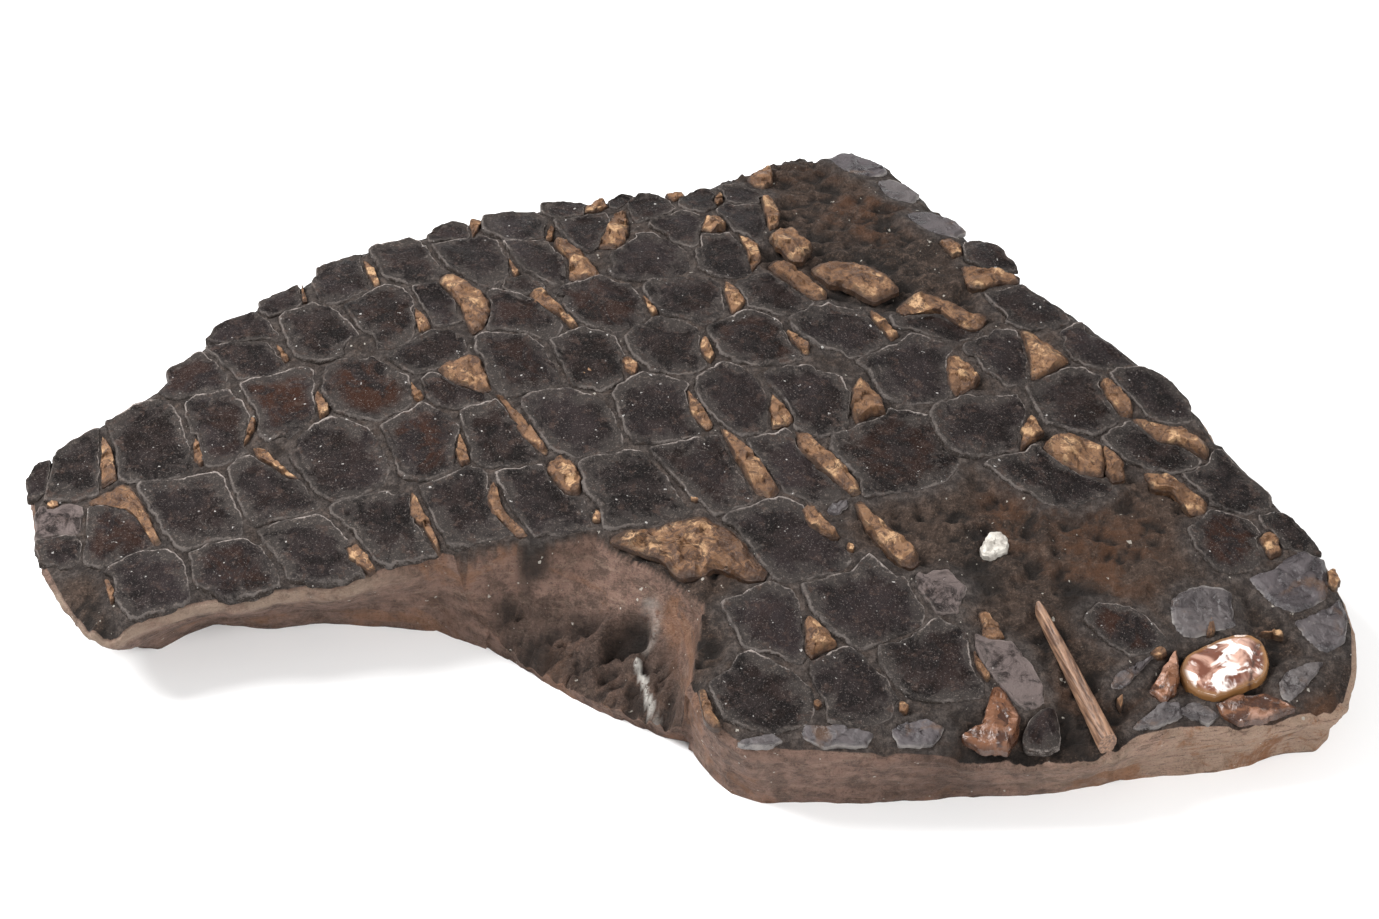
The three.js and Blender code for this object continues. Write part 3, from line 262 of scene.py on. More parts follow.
# Bones: name, rise above the dome, how rough, outline. Those named in the frame stand for their solids.
BONES = [
    ("tail_bone_1", 1.8, 0.5, [(-149.5, -10), (-146, -16.5), (-143.3, -27.5), (-147.5, -30),
                               (-148.5, -20)]),
    ("tail_bone_2", 1.8, 0.6, [(-150, -34), (-142, -29), (-139.5, -30.5), (-134, -41), (-130, -50.5),
                               (-132, -51), (-137, -41.5), (-142, -37), (-150, -35.5)]),
    ("blade_bone", 2.6, 0.5, [(-65.5, 42), (-64, 45), (-62, 46), (-57, 40), (-53, 36), (-50.8, 31),
                              (-51, 25), (-52.5, 21), (-55, 18), (-57, 24), (-59, 31), (-62, 37)]),
    ("middle_bone_1", 2.4, 0.6, [(-64, 5), (-60, 8.5), (-56, 11), (-52.5, 9), (-51, 4), (-49.5, -3),
                                 (-51, -5), (-58, -1)]),
    ("middle_bone_2", 2.0, 0.6, [(-41, 35), (-38, 38.5), (-34, 31), (-28, 22), (-27, 20), (-29, 18.8),
                                 (-33, 26), (-40, 31)]),
    ("middle_bone_3", 1.8, 0.5, [(-48.5, -5), (-46, -6), (-41, -14), (-34, -26), (-34.5, -28),
                                 (-41, -21), (-46, -9)]),
    ("oval_bone", 2.2, 0.3, [(-34, -30), (-31, -27.5), (-28, -30), (-25, -37), (-26, -41), (-30, -40.5),
                             (-34.5, -33)]),
    ("front_bone_1", 1.8, 0.5, [(-48, -35), (-46.5, -38), (-47.5, -42), (-42, -50), (-38.5, -54),
                                (-41, -55), (-48, -46), (-49.5, -42)]),
    ("back_bone_1", 2.2, 0.6, [(-34.5, 61), (-32, 60), (-28, 55), (-25, 49), (-22, 43), (-29, 40.5),
                               (-30.5, 41.5), (-30.5, 50), (-35, 57)]),
    ("back_blade", 2.8, 0.6, [(-19, 72), (-16, 76), (-14.5, 65), (-15.5, 59), (-18, 55), (-23.5, 55.5),
                              (-20, 66)]),
    ("back_bone_3", 2.8, 0.4, [(4.5, 64), (6, 69), (8, 73), (11, 69), (11.5, 64), (8, 63.5)]),
    ("back_bone_4", 2.0, 0.6, [(17, 93), (20, 97), (24, 101.5), (25, 97), (24, 90), (22, 87), (19, 89)]),
    ("block_bone", 3.6, 0.5, [(25, 64), (29, 67), (31, 62), (34, 57), (33, 52), (31.5, 48.5), (28, 50),
                              (25, 56), (22.5, 61)]),
    ("rod_bone_1", 2.8, 0.4, [(22, 46.5), (24.5, 50), (28, 47), (33, 41), (37.5, 36.5), (37.5, 33),
                              (34, 32), (26, 41)]),
    ("large_bone", 3.6, 0.5, [(33, 46), (37, 49), (46, 50), (52, 46), (56, 41), (57.5, 37), (55, 36),
                              (50, 31.5), (42, 38.5), (38.5, 38.5)]),
    ("ruffled_bone", 2.8, 0.9, [(55.5, 29.5), (58, 33), (62, 36), (68, 35), (76, 28), (80, 28), (78, 23),
                                (75, 21), (71, 24), (67, 28), (62, 28), (58, 26)]),
    ("right_bone_1", 2.6, 0.3, [(48.5, 28.5), (51, 26), (56.5, 18), (54, 15.5), (50, 23)]),
    ("right_bone_2", 2.0, 0.4, [(11, 40), (14, 36), (16, 31), (15, 27), (12.5, 25), (10.5, 35)]),
    ("right_bone_3", 3.8, 0.3, [(43, -5), (45, 2), (51, -9), (52, -13), (48, -13), (44, -17),
                                (42.5, -12)]),
    ("right_bone_6", 2.8, 0.4, [(68, 10), (71, 11), (77, 3), (75, 0), (70, -5), (68, -1)]),
    ("right_bone_7", 3.6, 0.4, [(88, 22), (90.5, 22.5), (99, 14), (100.5, 10.5), (92, 4), (89.5, 3),
                                (90, 10)]),
    ("right_bone_8", 1.9, 0.5, [(107.5, 3), (109, 6), (116, -3.5), (115, -8.5), (112, -8), (109.5, -3)]),
    ("right_bone_9", 2.8, 0.6, [(91, -22), (93, -18), (97, -17), (105, -18), (107, -21), (106, -31),
                                (100, -30), (94, -26)]),
    ("right_bone_10", 2.6, 0.6, [(115, -9), (118, -9), (128, -12), (132, -14), (134, -18), (133, -22),
                                 (126, -17), (121, -17), (117, -13)]),
    ("right_bone_11", 2.8, 0.5, [(116, -28), (122, -28), (125, -30), (132, -37), (131, -40), (127, -42),
                                 (123, -34), (118, -34)]),
    ("right_bone_12", 2.0, 0.5, [(74, 50), (80, 49), (86, 49), (89.5, 46), (89, 43.5), (82, 42),
                                 (79, 39.5), (75, 39.5)]),
    ("rod_bone_2", 3.8, 0.4, [(9, -18), (12, -20), (18, -29), (22, -36), (24, -39.5), (22, -43),
                              (18, -41), (13, -30)]),
    ("rod_bone_3", 2.9, 0.4, [(28, -19), (31, -19), (38, -29), (44, -37), (44.3, -40), (42, -41),
                              (34, -32), (29, -26)]),
    ("rod_bone_4", 3.8, 0.4, [(42, -43), (44.5, -43), (49, -51), (52, -55), (58, -59), (58, -62),
                              (56, -64.5), (53, -63), (46, -54)]),
    ("front_bone_3", 1.9, 0.5, [(29, -46), (32, -44.5), (39, -55), (36.5, -56), (31, -51)]),
    ("rough_bone", 2.9, 1.7, [(-18.5, -56.5), (-15, -53), (-7, -52.5), (2, -49), (6, -49.5), (13, -54),
                              (18, -63), (21, -66), (20, -69), (16, -69.5), (8, -65), (4, -68),
                              (-2, -68), (-5, -63), (-14, -58.5)]),
    ("front_bone_4", 3.8, 0.4, [(29.5, -81), (31, -80), (37.5, -88), (34, -89.5), (31, -92),
                                (29.5, -90)]),
    ("front_bone_5", 3.9, 0.5, [(74.5, -98), (76.5, -98), (81, -107), (79.5, -112), (77, -116.5),
                                (72, -116.5), (68, -115), (66, -112), (70, -112), (72, -107)]),
    ("front_bone_6", 3.8, 0.3, [(120, -84), (120, -91), (119, -97), (116, -100.5), (112, -97),
                                (116, -91)]),
    ("front_bone_7", 2.8, 0.4, [(128.5, -99.5), (133, -96.5), (141, -95.5), (145, -97), (148.5, -98.5),
                                (140, -102.5), (133, -104), (130, -102.5)]),
    ("edge_bone", 1.9, 0.4, [(143.5, -47), (147, -44.5), (149.5, -49), (149, -52), (146, -53.5)]),
    ("tail_chip_1", 1.2, 0.5, [(-161, -33.5), (-158, -33.2), (-157.5, -35), (-160, -36)]),
    ("tail_chip_2", 1.4, 0.5, [(-125, -14), (-123.5, -17), (-121.5, -24), (-122.5, -25.5),
                               (-124.5, -22)]),
    ("tail_chip_3", 1.4, 0.5, [(-110.5, -8.5), (-109.2, -10.5), (-110.5, -17), (-112, -19)]),
    ("tail_splinter", 1.6, 0.6, [(-109.8, -19.8), (-107, -20), (-101, -29), (-97, -32), (-99.5, -31.5),
                                 (-104, -27), (-108, -24)]),
    ("tail_chip_4", 1.0, 0.5, [(-143.8, -60), (-142, -60.5), (-140, -67), (-141, -69)]),
    ("left_splinter_1", 1.6, 0.5, [(-94.5, 0), (-92, -4), (-90.5, -9), (-93, -12), (-94.8, -4)]),
    ("left_chip_1", 1.2, 0.5, [(-107, 19.5), (-105, 17), (-102.5, 12), (-104, 11)]),
    ("left_chip_2", 1.2, 0.5, [(-102, 45), (-99.5, 36), (-101, 35.5)]),
    ("left_splinter_2", 1.6, 0.5, [(-86.3, 55), (-84, 52), (-80.5, 42), (-82, 40.5), (-85.3, 50)]),
    ("left_splinter_3", 1.6, 0.5, [(-71, 32), (-67, 24.5), (-66, 22), (-69, 20), (-70.5, 25)]),
    ("back_chip_1", 1.2, 0.5, [(-58.5, 72), (-55, 71), (-55, 68), (-57, 62.5)]),
    ("back_chip_2", 1.2, 0.5, [(-47, 52), (-43.5, 44), (-44.5, 42), (-46, 45)]),
    ("back_chip_3", 1.2, 0.5, [(-37.5, 59.5), (-36, 68), (-35, 66), (-35.3, 60)]),
    ("back_splinter_1", 1.8, 0.5, [(-27, 77), (-22, 80.5), (-20.5, 77), (-23, 74.5), (-27, 74)]),
    ("back_chip_4", 1.2, 0.5, [(-6, 83.6), (0, 84.2), (0, 82), (-3, 80)]),
    ("back_chip_5", 1.2, 0.5, [(8, 80), (10, 84.5), (11, 80), (9, 77.5)]),
    ("back_splinter_2", 1.6, 0.5, [(14.5, 63), (17, 61), (20, 56), (21, 51), (18, 44), (16, 57)]),
    ("back_splinter_3", 2.0, 0.5, [(21, 82), (23, 83), (25, 80), (26, 73), (25.5, 68), (23, 64),
                                   (22, 73)]),
    ("middle_chip_1", 1.2, 0.5, [(-11, 33), (-9, 30), (-6.5, 25.5), (-8, 23.5)]),
    ("middle_chip_2", 1.2, 0.5, [(-70.5, 1), (-66.5, -5), (-68, -7), (-69.5, -5)]),
    ("middle_chip_3", 1.2, 0.5, [(-27, 5), (-24, 5.5), (-23, 1), (-26, 0.5)]),
    ("middle_chip_4", 1.2, 0.5, [(-16, 7), (-14, 8), (-11.5, 5), (-12.5, 1), (-14.5, 1.5)]),
    ("middle_chip_5", 1.3, 0.5, [(4, 14), (5.5, 17), (8, 9), (7, 5), (5, 8)]),
    ("middle_chip_6", 1.6, 0.5, [(26.5, 19), (30, 16), (33, 13), (32, 9), (28.5, 13)]),
    ("middle_chip_7", 1.3, 0.5, [(-57, -18), (-53.5, -29), (-56, -30.5), (-57.5, -27)]),
    ("front_splinter_1", 1.8, 0.5, [(-68, -38), (-64, -47), (-60, -57), (-60.5, -59), (-65, -50),
                                    (-68.5, -46)]),
    ("front_splinter_2", 1.6, 0.5, [(-83.5, -56), (-81, -55), (-75.5, -63), (-77, -64.5), (-83, -59)]),
    ("front_chip_1", 1.2, 0.5, [(-22, -46), (-20.5, -47), (-20.5, -50.5), (-22.5, -50)]),
    ("right_splinter_1", 1.8, 0.5, [(1, -4), (3.5, -9), (7.5, -17), (6, -20), (1, -13)]),
    ("right_splinter_2", 1.8, 0.5, [(22.5, -5), (28, -15), (26, -18), (22.5, -19), (22, -12)]),
    ("right_splinter_3", 1.6, 0.5, [(89, -9), (92, -16), (90, -18.5), (85, -24), (86, -16)]),
    ("right_splinter_4", 1.8, 0.5, [(106.5, -20), (109, -22), (111.5, -26), (111, -31), (108, -33),
                                    (106.5, -29)]),
    ("right_chip_1", 1.4, 0.5, [(69, 62), (72, 63), (75, 60), (75, 56), (72, 54)]),
    ("edge_splinter_1", 1.6, 0.4, [(160, -56), (162.3, -55), (163.2, -59), (161.5, -61.5), (160, -60)]),
    ("edge_splinter_2", 1.6, 0.4, [(129.5, -73.5), (130, -79), (127.5, -80)]),
    ("edge_splinter_3", 1.4, 0.4, [(140, -77.3), (147, -76), (147, -77.8)]),
    ("front_chip_2", 1.8, 0.4, [(72, -77), (74, -76), (78.5, -84), (75, -85), (72.5, -84)]),
    ("front_chip_3", 1.8, 0.4, [(70, -88), (74, -95.5), (73, -97), (70.5, -93)]),
    ("front_chip_4", 1.6, 0.4, [(3.5, -101), (5, -100.5), (7, -108), (9.5, -112), (7, -112), (5, -109)]),
    ("front_chip_5", 1.6, 0.4, [(103.5, -100.5), (106, -98.6), (105, -103)]),
    ("front_chip_6", 1.4, 0.4, [(113.5, -86), (116, -84), (117.5, -86), (115, -88)]),
    ("nub_1", 1.6, 0.3, [(31, -104), (32.5, -103.5), (33.5, -105), (32.5, -106.5), (31, -106)]),
    ("nub_2", 1.6, 0.3, [(51.5, -104), (53, -103.8), (54, -105.2), (53, -106.8), (51.5, -106)]),
    ("nub_3", 1.2, 0.3, [(40.6, -57), (42, -57), (42.5, -58.5), (41.5, -59.3), (40.5, -58.5)]),
    ("nub_4", 1.2, 0.3, [(2.2, -42.2), (3.6, -42.2), (4, -43.6), (3, -44.2), (2, -43.6)]),
]

# The waxy brown bones at the front right
GLOSSY_BONES = ("front_bone_5", "front_bone_6", "front_bone_7")

# Worn grey plates and chips at the front right and on the shelf at the back: name, rise, tone, outline
GREY_PLATES = [
    ("grey_plate_1", 0.9, 0.5, [(119, -70), (123, -66), (127, -64), (135, -65), (135, -72), (136, -76),
                                (130, -78), (124, -81), (120, -79)]),
    ("grey_plate_2", 0.9, 0.2, [(139, -60.5), (146, -57), (151, -52), (155, -49.5), (160, -52),
                                (160, -61), (159, -65), (152, -70), (146, -69)]),
    ("grey_plate_3", 0.9, 0.3, [(150, -73), (156, -69.5), (160, -67), (162.5, -64), (163.5, -70),
                                (162.5, -78), (157, -82), (152, -77)]),
    ("grey_flake", 1.8, 0.8, [(145, -96), (144, -92), (148, -87), (157, -83.5), (154, -88), (147, -97)]),
    ("grey_chip_1", 1.6, 0.5, [(107, -108), (114, -101), (120, -99.5), (120, -103.5), (113, -107)]),
    ("grey_chip_2", 1.4, 0.7, [(119, -102), (122, -99.5), (127, -100.5), (129, -102.5), (126, -104.8),
                               (122, -104)]),
    ("grey_chip_3", 1.2, 0.4, [(103, -97), (104, -93.5), (115, -86), (111, -91), (106, -97)]),
    ("grey_chip_4", 1.0, 0.4, [(37, -44), (41, -42.5), (41, -45), (38, -48), (35.5, -47)]),
    ("grey_chip_5", 1.2, 0.4, [(12, -115.6), (22, -113.4), (24, -115), (20, -116.8), (14, -116.4)]),
    ("grey_chip_6", 1.2, 0.3, [(28, -110.5), (38, -111), (46, -112.5), (44, -116), (33, -116.6),
                               (28, -114)]),
    ("grey_chip_7", 1.2, 0.2, [(49, -111), (57, -108), (63, -110), (60, -115.6), (51, -116)]),
    ("shelf_plate_1", 0.6, 0.1, [(40, 109.5), (44, 113.5), (47, 114), (50, 111), (57, 105), (55, 100),
                                 (50, 98), (45, 100), (42, 104)]),
    ("shelf_plate_2", 0.6, 0.5, [(53, 96), (57, 98), (62, 95), (65, 90), (63, 84), (57, 85), (54, 90)]),
    ("shelf_plate_3", 0.6, 0.3, [(60, 77), (66, 79), (73, 76), (77, 70), (74, 66), (67, 67), (62, 72)]),
]
GLOSSY_SCALE = [
    (120, -90), (122, -86), (128, -82), (134, -79), (139, -78), (142, -81), (142.8, -86), (141, -91),
    (136, -94), (131, -97), (126, -98), (121, -95),
]
GLOSSY_CRACK = [(141.5, -79), (139.5, -84), (138.5, -88), (136.5, -95)]
DARK_LENS = [(80.5, -113), (82, -108), (86, -104), (89, -103), (90, -108), (90, -114), (87, -116), (82, -116)]
WHITE_PEBBLE = [(73, -56), (76, -51), (79, -50), (81, -52), (80, -56), (77, -59), (74, -58.5)]
FIN_RAY_BED = [(85.5, -74), (87.5, -73.5), (104, -113), (98.5, -114.5)]
FIN_RAY = {"from": (86.5, -74.5), "to": (101, -113.5), "widths": (2.2, 4.6), "rise": 4.4, "sink": 2.0}

# Places of orange stains and of darker patches on the stone: x, y, radius
ORANGE_STAINS = [(50, 76, 20), (104, -55, 24), (84, -45, 16), (150, -98, 14), (60, -117, 10)]
# darker patches; the one at 93, -110, beside the dark lens, is a painted shadow in the hollow there
DARK_PATCHES = [(72, -66, 10), (98, -70, 9), (93, -110, 8), (60, -113, 12), (-37, -57, 6)]
VEIN = [(-11.5, -78.5), (-10, -82), (-8.8, -85), (-7.6, -89), (-5.5, -92.5), (-3.6, -95)]
PIT = (-13.5, -72.3, 7.2)


class SlabSizes(bpy.types.PropertyGroup):
    """Sizes of the slab's surface."""

    grid: FloatProperty(
        name="Surface spacing", description="Distance between points of the stone's upper face",
        default=0.85 * MM, min=0.4 * MM, unit="LENGTH",
    )
    bare_drop: FloatProperty(
        name="Bare stone", description="How far bare stone lies below the scales",
        default=1.5 * MM, unit="LENGTH",
    )
    lumps: FloatProperty(
        name="Lumps", description="Height of the lumps on bare stone", default=1.35 * MM, unit="LENGTH",
    )
    stone: FloatVectorProperty(
        name="Stone", description="Main colour of the stone", default=(0.054, 0.033, 0.023),
        subtype="COLOR",
    )
    stain: FloatVectorProperty(
        name="Stain", description="Colour of its iron stains", default=(0.105, 0.043, 0.018),
        subtype="COLOR",
    )


class ScaleSizes(bpy.types.PropertyGroup):
    """Sizes and colours of the scales."""

    proud: FloatProperty(
        name="Rim height", description="How far a scale's rim stands above the dome",
        default=0.15 * MM, unit="LENGTH",
    )
    crown: FloatProperty(
        name="Crown", description="How far its middle stands above its rim", default=0.5 * MM, unit="LENGTH",
    )
    tilt: FloatProperty(
        name="Tilt", description="Rise of a scale towards the tail, as a share of its length", default=0.075,
    )
    enamel: FloatVectorProperty(
        name="Enamel", description="Main colour of the enamel", default=(0.0042, 0.0027, 0.0025),
        subtype="COLOR",
    )
    brown: FloatVectorProperty(
        name="Brown enamel", description="Colour where the enamel is thin", default=(0.03, 0.0105, 0.005),
        subtype="COLOR",
    )
    # rim is also the colour of the pale ridges, which are partly a painted highlight
    rim: FloatVectorProperty(
        name="Rim", description="Colour of the worn rims", default=(0.31, 0.268, 0.246), subtype="COLOR",
    )


class BoneSizes(bpy.types.PropertyGroup):
    """Colours of the bones."""

    tan: FloatVectorProperty(
        name="Tan", description="Main colour of the bone", default=(0.18, 0.091, 0.043), subtype="COLOR",
    )
    pale: FloatVectorProperty(
        name="Pale", description="Colour of its worn faces", default=(0.43, 0.262, 0.138), subtype="COLOR",
    )
    # dark is also the painted shade along the bones' edges and in their pores
    dark: FloatVectorProperty(
        name="Dark", description="Colour of its broken ends and hollows", default=(0.042, 0.018, 0.009),
        subtype="COLOR",
    )


class StageSizes(bpy.types.PropertyGroup):
    """Light and floor."""

    key: FloatProperty(
        name="Key light", description="Power of the softbox on the left", default=22.0, unit="POWER",
    )
    fill: FloatProperty(
        name="Fill light", description="Power of the light from the front", default=17.0, unit="POWER",
    )
    sky: FloatProperty(name="Room light", description="Strength of the light all round", default=0.5)
    lens: IntProperty(name="Lens", description="Focal length of the camera in mm", default=100)


def dome(x, y):
    return CROWN - FALL_X * x * x - np.where(y > 0, FALL_BACK, FALL_FRONT) * y * y


def value_noise(x, y, size, seed):
    """Smooth noise from -1 to 1 with features of the given size."""
    table = np.random.RandomState(seed).rand(128, 128) * 2 - 1
    u, v = x / size + 31.7, y / size + 17.3
    i, j = np.floor(u).astype(int), np.floor(v).astype(int)
    fu, fv = u - i, v - j
    fu, fv = fu * fu * (3 - 2 * fu), fv * fv * (3 - 2 * fv)
    a, b = table[i % 128, j % 128], table[(i + 1) % 128, j % 128]
    c, d = table[i % 128, (j + 1) % 128], table[(i + 1) % 128, (j + 1) % 128]
    return (a * (1 - fu) + b * fu) * (1 - fv) + (c * (1 - fu) + d * fu) * fv


def layered_noise(x, y, size, seed, layers=3, keep=0.5):
    total, strength = 0, 1.0
    for k in range(layers):
        angle = 0.7 * k
        u = x * math.cos(angle) - y * math.sin(angle)
        v = x * math.sin(angle) + y * math.cos(angle)
        total = total + value_noise(u, v, size / 2**k, seed + 11 * k) * strength
        strength *= keep
    return total


def ridged_noise(x, y, size, seed, layers=3):
    """Noise with sharp creases, as on broken stone, from 0 to about 1."""
    total, strength = 0, 0.6
    for k in range(layers):
        total = total + (1 - np.abs(value_noise(x, y, size / 2**k, seed + 7 * k))) * strength
        strength *= 0.5
    return total - 0.45


def line_distance(line, x, y):
    """Distance from each point to a polyline, and the nearest place on it."""
    best = np.full(np.shape(x), 1e9)
    near_x, near_y = np.zeros(np.shape(x)), np.zeros(np.shape(x))
    where = np.zeros(np.shape(x))
    side = np.zeros(np.shape(x))
    for i, ((ax, ay), (bx, by)) in enumerate(zip(line, line[1:])):
        dx, dy = bx - ax, by - ay
        t = np.clip(((x - ax) * dx + (y - ay) * dy) / (dx * dx + dy * dy), 0, 1)
        px, py = ax + t * dx, ay + t * dy
        distance = np.hypot(x - px, y - py)
        nearer = distance < best
        best = np.where(nearer, distance, best)
        near_x, near_y = np.where(nearer, px, near_x), np.where(nearer, py, near_y)
        where = np.where(nearer, i + t, where)
        side = np.where(nearer, dx * (y - ay) - dy * (x - ax), side)
    return best, near_x, near_y, where, side


def inside(outline, x, y):
    result = np.zeros(np.shape(x), bool)
    for (ax, ay), (bx, by) in zip(outline, outline[1:] + outline[:1]):
        if ay == by:
            continue
        crossing = (ay > y) != (by > y)
        result ^= crossing & (x < (bx - ax) * (y - ay) / (by - ay) + ax)
    return result


def outline_distance(outline, x, y):
    """Distance to an outline, negative inside it."""
    closed = outline + outline[:1]
    distance = line_distance(closed, x, y)[0]
    return np.where(inside(outline, x, y), -distance, distance)


def nearest_outline(outlines, x, y, reach=7.0):
    """Signed distance to the nearest of many outlines, up to reach."""
    best = np.full(np.shape(x), reach)
    for outline in outlines:
        xs, ys = [p[0] for p in outline], [p[1] for p in outline]
        near = (x > min(xs) - reach) & (x < max(xs) + reach) & (y > min(ys) - reach) & (y < max(ys) + reach)
        if near.any():
            best[near] = np.minimum(best[near], outline_distance(outline, x[near], y[near]))
    return best


def thinned(outline, tolerance, most):
    """Drops an outline's least needed points, one by one, until few are left and each one counts."""
    points = np.array(outline, float)
    while len(points) > 3:
        before, after = np.roll(points, 1, axis=0), np.roll(points, -1, axis=0)
        chord, arm = after - before, points - before
        length = np.maximum(np.hypot(*chord.T), 1e-6)
        bulge = np.abs(chord[:, 0] * arm[:, 1] - chord[:, 1] * arm[:, 0]) / length
        need = bulge * (0.3 + 0.1 * length)
        least = int(np.argmin(need))
        if need[least] > tolerance and len(points) <= most:
            break
        points = np.delete(points, least, axis=0)
    return points


def widened(outline, others, fixed):
    """Moves a scale's edge out until it nearly meets the other scales, the bones, the rim or the hollow."""
    ring = np.array(outline + outline[:1], float)
    lengths = np.hypot(*np.diff(ring, axis=0).T)
    run = np.concatenate([[0], np.cumsum(lengths)])
    at = np.linspace(0, run[-1], WIDEN_POINTS, endpoint=False)
    points = np.column_stack([np.interp(at, run, ring[:, 0]), np.interp(at, run, ring[:, 1])])
    tangent = np.roll(points, -4, axis=0) - np.roll(points, 4, axis=0)
    turn = np.sum(points[:, 0] * np.roll(points[:, 1], -1) - np.roll(points[:, 0], -1) * points[:, 1])
    outward = np.column_stack([tangent[:, 1], -tangent[:, 0]]) * np.sign(turn)
    outward /= np.hypot(*outward.T)[:, None]
    spoke = points - points.mean(0)
    spoke /= np.hypot(*spoke.T)[:, None]
    way = outward * 0.55 + spoke * 0.45
    way /= np.hypot(*way.T)[:, None]
    steps = np.arange(0.1, 4.6, 0.1)
    x, y = np.moveaxis(points + way * steps[:, None, None], -1, 0)
    own = outline_distance(outline, x, y)
    beside = nearest_outline(others, x, y, 8.0)
    clear = (own + SEAM < beside) & (nearest_outline(fixed, x, y, 8.0) > BONE_SEAM)
    clear &= -outline_distance([(a, b) for a, b, _ in RIM], x, y) > RIM_SEAM
    clear &= outline_distance(HOLLOW_EDGE + HOLLOW_FRONT, x, y) > HOLLOW_SEAM
    clear &= own < np.where(beside > 7, WIDEN_ALONE, WIDEN_MOST)
    reached = np.logical_and.accumulate(clear, axis=0).sum(axis=0)
    reach = np.concatenate([[0], steps])[reached]
    reach = np.median([np.roll(reach, 1), reach, np.roll(reach, -1)], axis=0)
    corners = thinned(points + way * reach[:, None], 0.5, 10)
    return [(x, y) for x, y in (np.round(corners * 2) / 2).tolist()]


@functools.cache
def fitted_scales():
    """Each scale's tone and outline, widened so that little stone shows between it and its neighbours."""
    outlines = [outline for _, outline in SCALES]
    fixed = [outline for *_, outline in BONES] + [GLOSSY_SCALE, DARK_LENS, WHITE_PEBBLE]
    fixed += [plate[3] for plate in GREY_PLATES] + [FIN_RAY_BED]
    return [
        (tone, widened(outline, outlines[:i] + outlines[i + 1:], fixed))
        for i, (tone, outline) in enumerate(SCALES)
    ]


def smoothstep(low, high, value):
    t = np.clip((value - low) / (high - low), 0, 1)
    return t * t * (3 - 2 * t)


def rounded(outline, cut=0.2, rounds=2):
    """Cuts an outline's corners a little, more on each round."""
    for _ in range(rounds):
        points = []
        for (ax, ay), (bx, by) in zip(outline, outline[1:] + outline[:1]):
            points.append((ax + (bx - ax) * cut, ay + (by - ay) * cut))
            points.append((bx - (bx - ax) * cut, by - (by - ay) * cut))
        outline = points
        cut = 0.27
    return outline


def resampled(outline, count):
    """Evenly spaced points along a closed outline, anticlockwise."""
    points = np.array(outline, float)
    nxt = np.roll(points, -1, axis=0)
    if np.sum(points[:, 0] * nxt[:, 1] - nxt[:, 0] * points[:, 1]) < 0:
        points = points[::-1]
    closed = np.vstack([points, points[:1]])
    steps = np.hypot(*np.diff(closed, axis=0).T)
    along = np.concatenate([[0], np.cumsum(steps)])
    at = np.linspace(0, along[-1], count, endpoint=False)
    return np.column_stack([np.interp(at, along, closed[:, 0]), np.interp(at, along, closed[:, 1])])


def add_piece(name, points, faces, material, attributes=None, sharp=None):
    """Makes an object from points in mm, which rides on the slab."""
    mesh = bpy.data.meshes.new(name)
    moved = (np.asarray(points, float) + (*TO_MIDDLE, 0)) * MM
    low, high = np.array([tuple(corner) for corner in CAD_BOUNDS])
    moved = np.clip(moved, low, high - 2e-5)
    mesh.from_pydata(moved.tolist(), [], faces)
    for key, values in (attributes or {}).items():
        mesh.attributes.new(key, "FLOAT", "POINT").data.foreach_set("value", np.asarray(values, np.float32))
    mesh.shade_smooth()
    if sharp is not None:
        mesh.set_sharp_from_angle(angle=math.radians(sharp))
    mesh.materials.append(material)
    mesh.update()
    piece = bpy.data.objects.new(name, mesh)
    bpy.context.scene.collection.objects.link(piece)
    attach(piece, "root")
    return piece


def ring_faces(count, rings, start=0):
    """Faces between rings of points, numbered ring by ring from the outermost."""
    faces = []
    for r in range(rings - 1):
        a = start + r * count
        for i in range(count):
            j = (i + 1) % count
            faces.append((a + i, a + j, a + count + j, a + count + i))
    return faces


def mound(outline, count, shares, height, buried, seed, ragged=0.25, cut=0.2):
    """A closed lump over an outline: points, faces, and each point's share of the way to the rim.

    height gives the upper face from x, y and that share. The lump reaches buried below the dome.
    """
    rim = resampled(rounded(outline, cut), count)
    middle = rim.mean(axis=0)
    away = rim - middle
    broad = value_noise(rim[:, 0], rim[:, 1], 2.2, seed)
    wobble = (broad + 0.5 * value_noise(rim[:, 0], rim[:, 1], 0.9, seed)) * ragged
    rim = middle + away * (1 + wobble / np.hypot(*away.T))[:, None]
    away = rim - middle
    foot_z = dome(rim[:, 0], rim[:, 1]) - buried
    rows, levels = [np.column_stack([rim, foot_z])], [np.ones(count)]
    for share in shares:
        flat = middle + away * share
        z = height(flat[:, 0], flat[:, 1], np.full(count, share))
        rows.append(np.column_stack([flat, z]))
        levels.append(np.full(count, share))
    points = np.vstack(rows)
    level = np.concatenate(levels)
    faces = ring_faces(count, len(rows))
    top = height(np.array([middle[0]]), np.array([middle[1]]), np.zeros(1))[0]
    points = np.vstack([points, [*middle, top], [*middle, foot_z.min()]])
    level = np.concatenate([level, [0, 1]])
    last = (len(rows) - 1) * count
    peak, under = len(points) - 2, len(points) - 1
    for i in range(count):
        j = (i + 1) % count
        faces.append((last + i, last + j, peak))
        faces.append((j, i, under))
    return points, faces, level


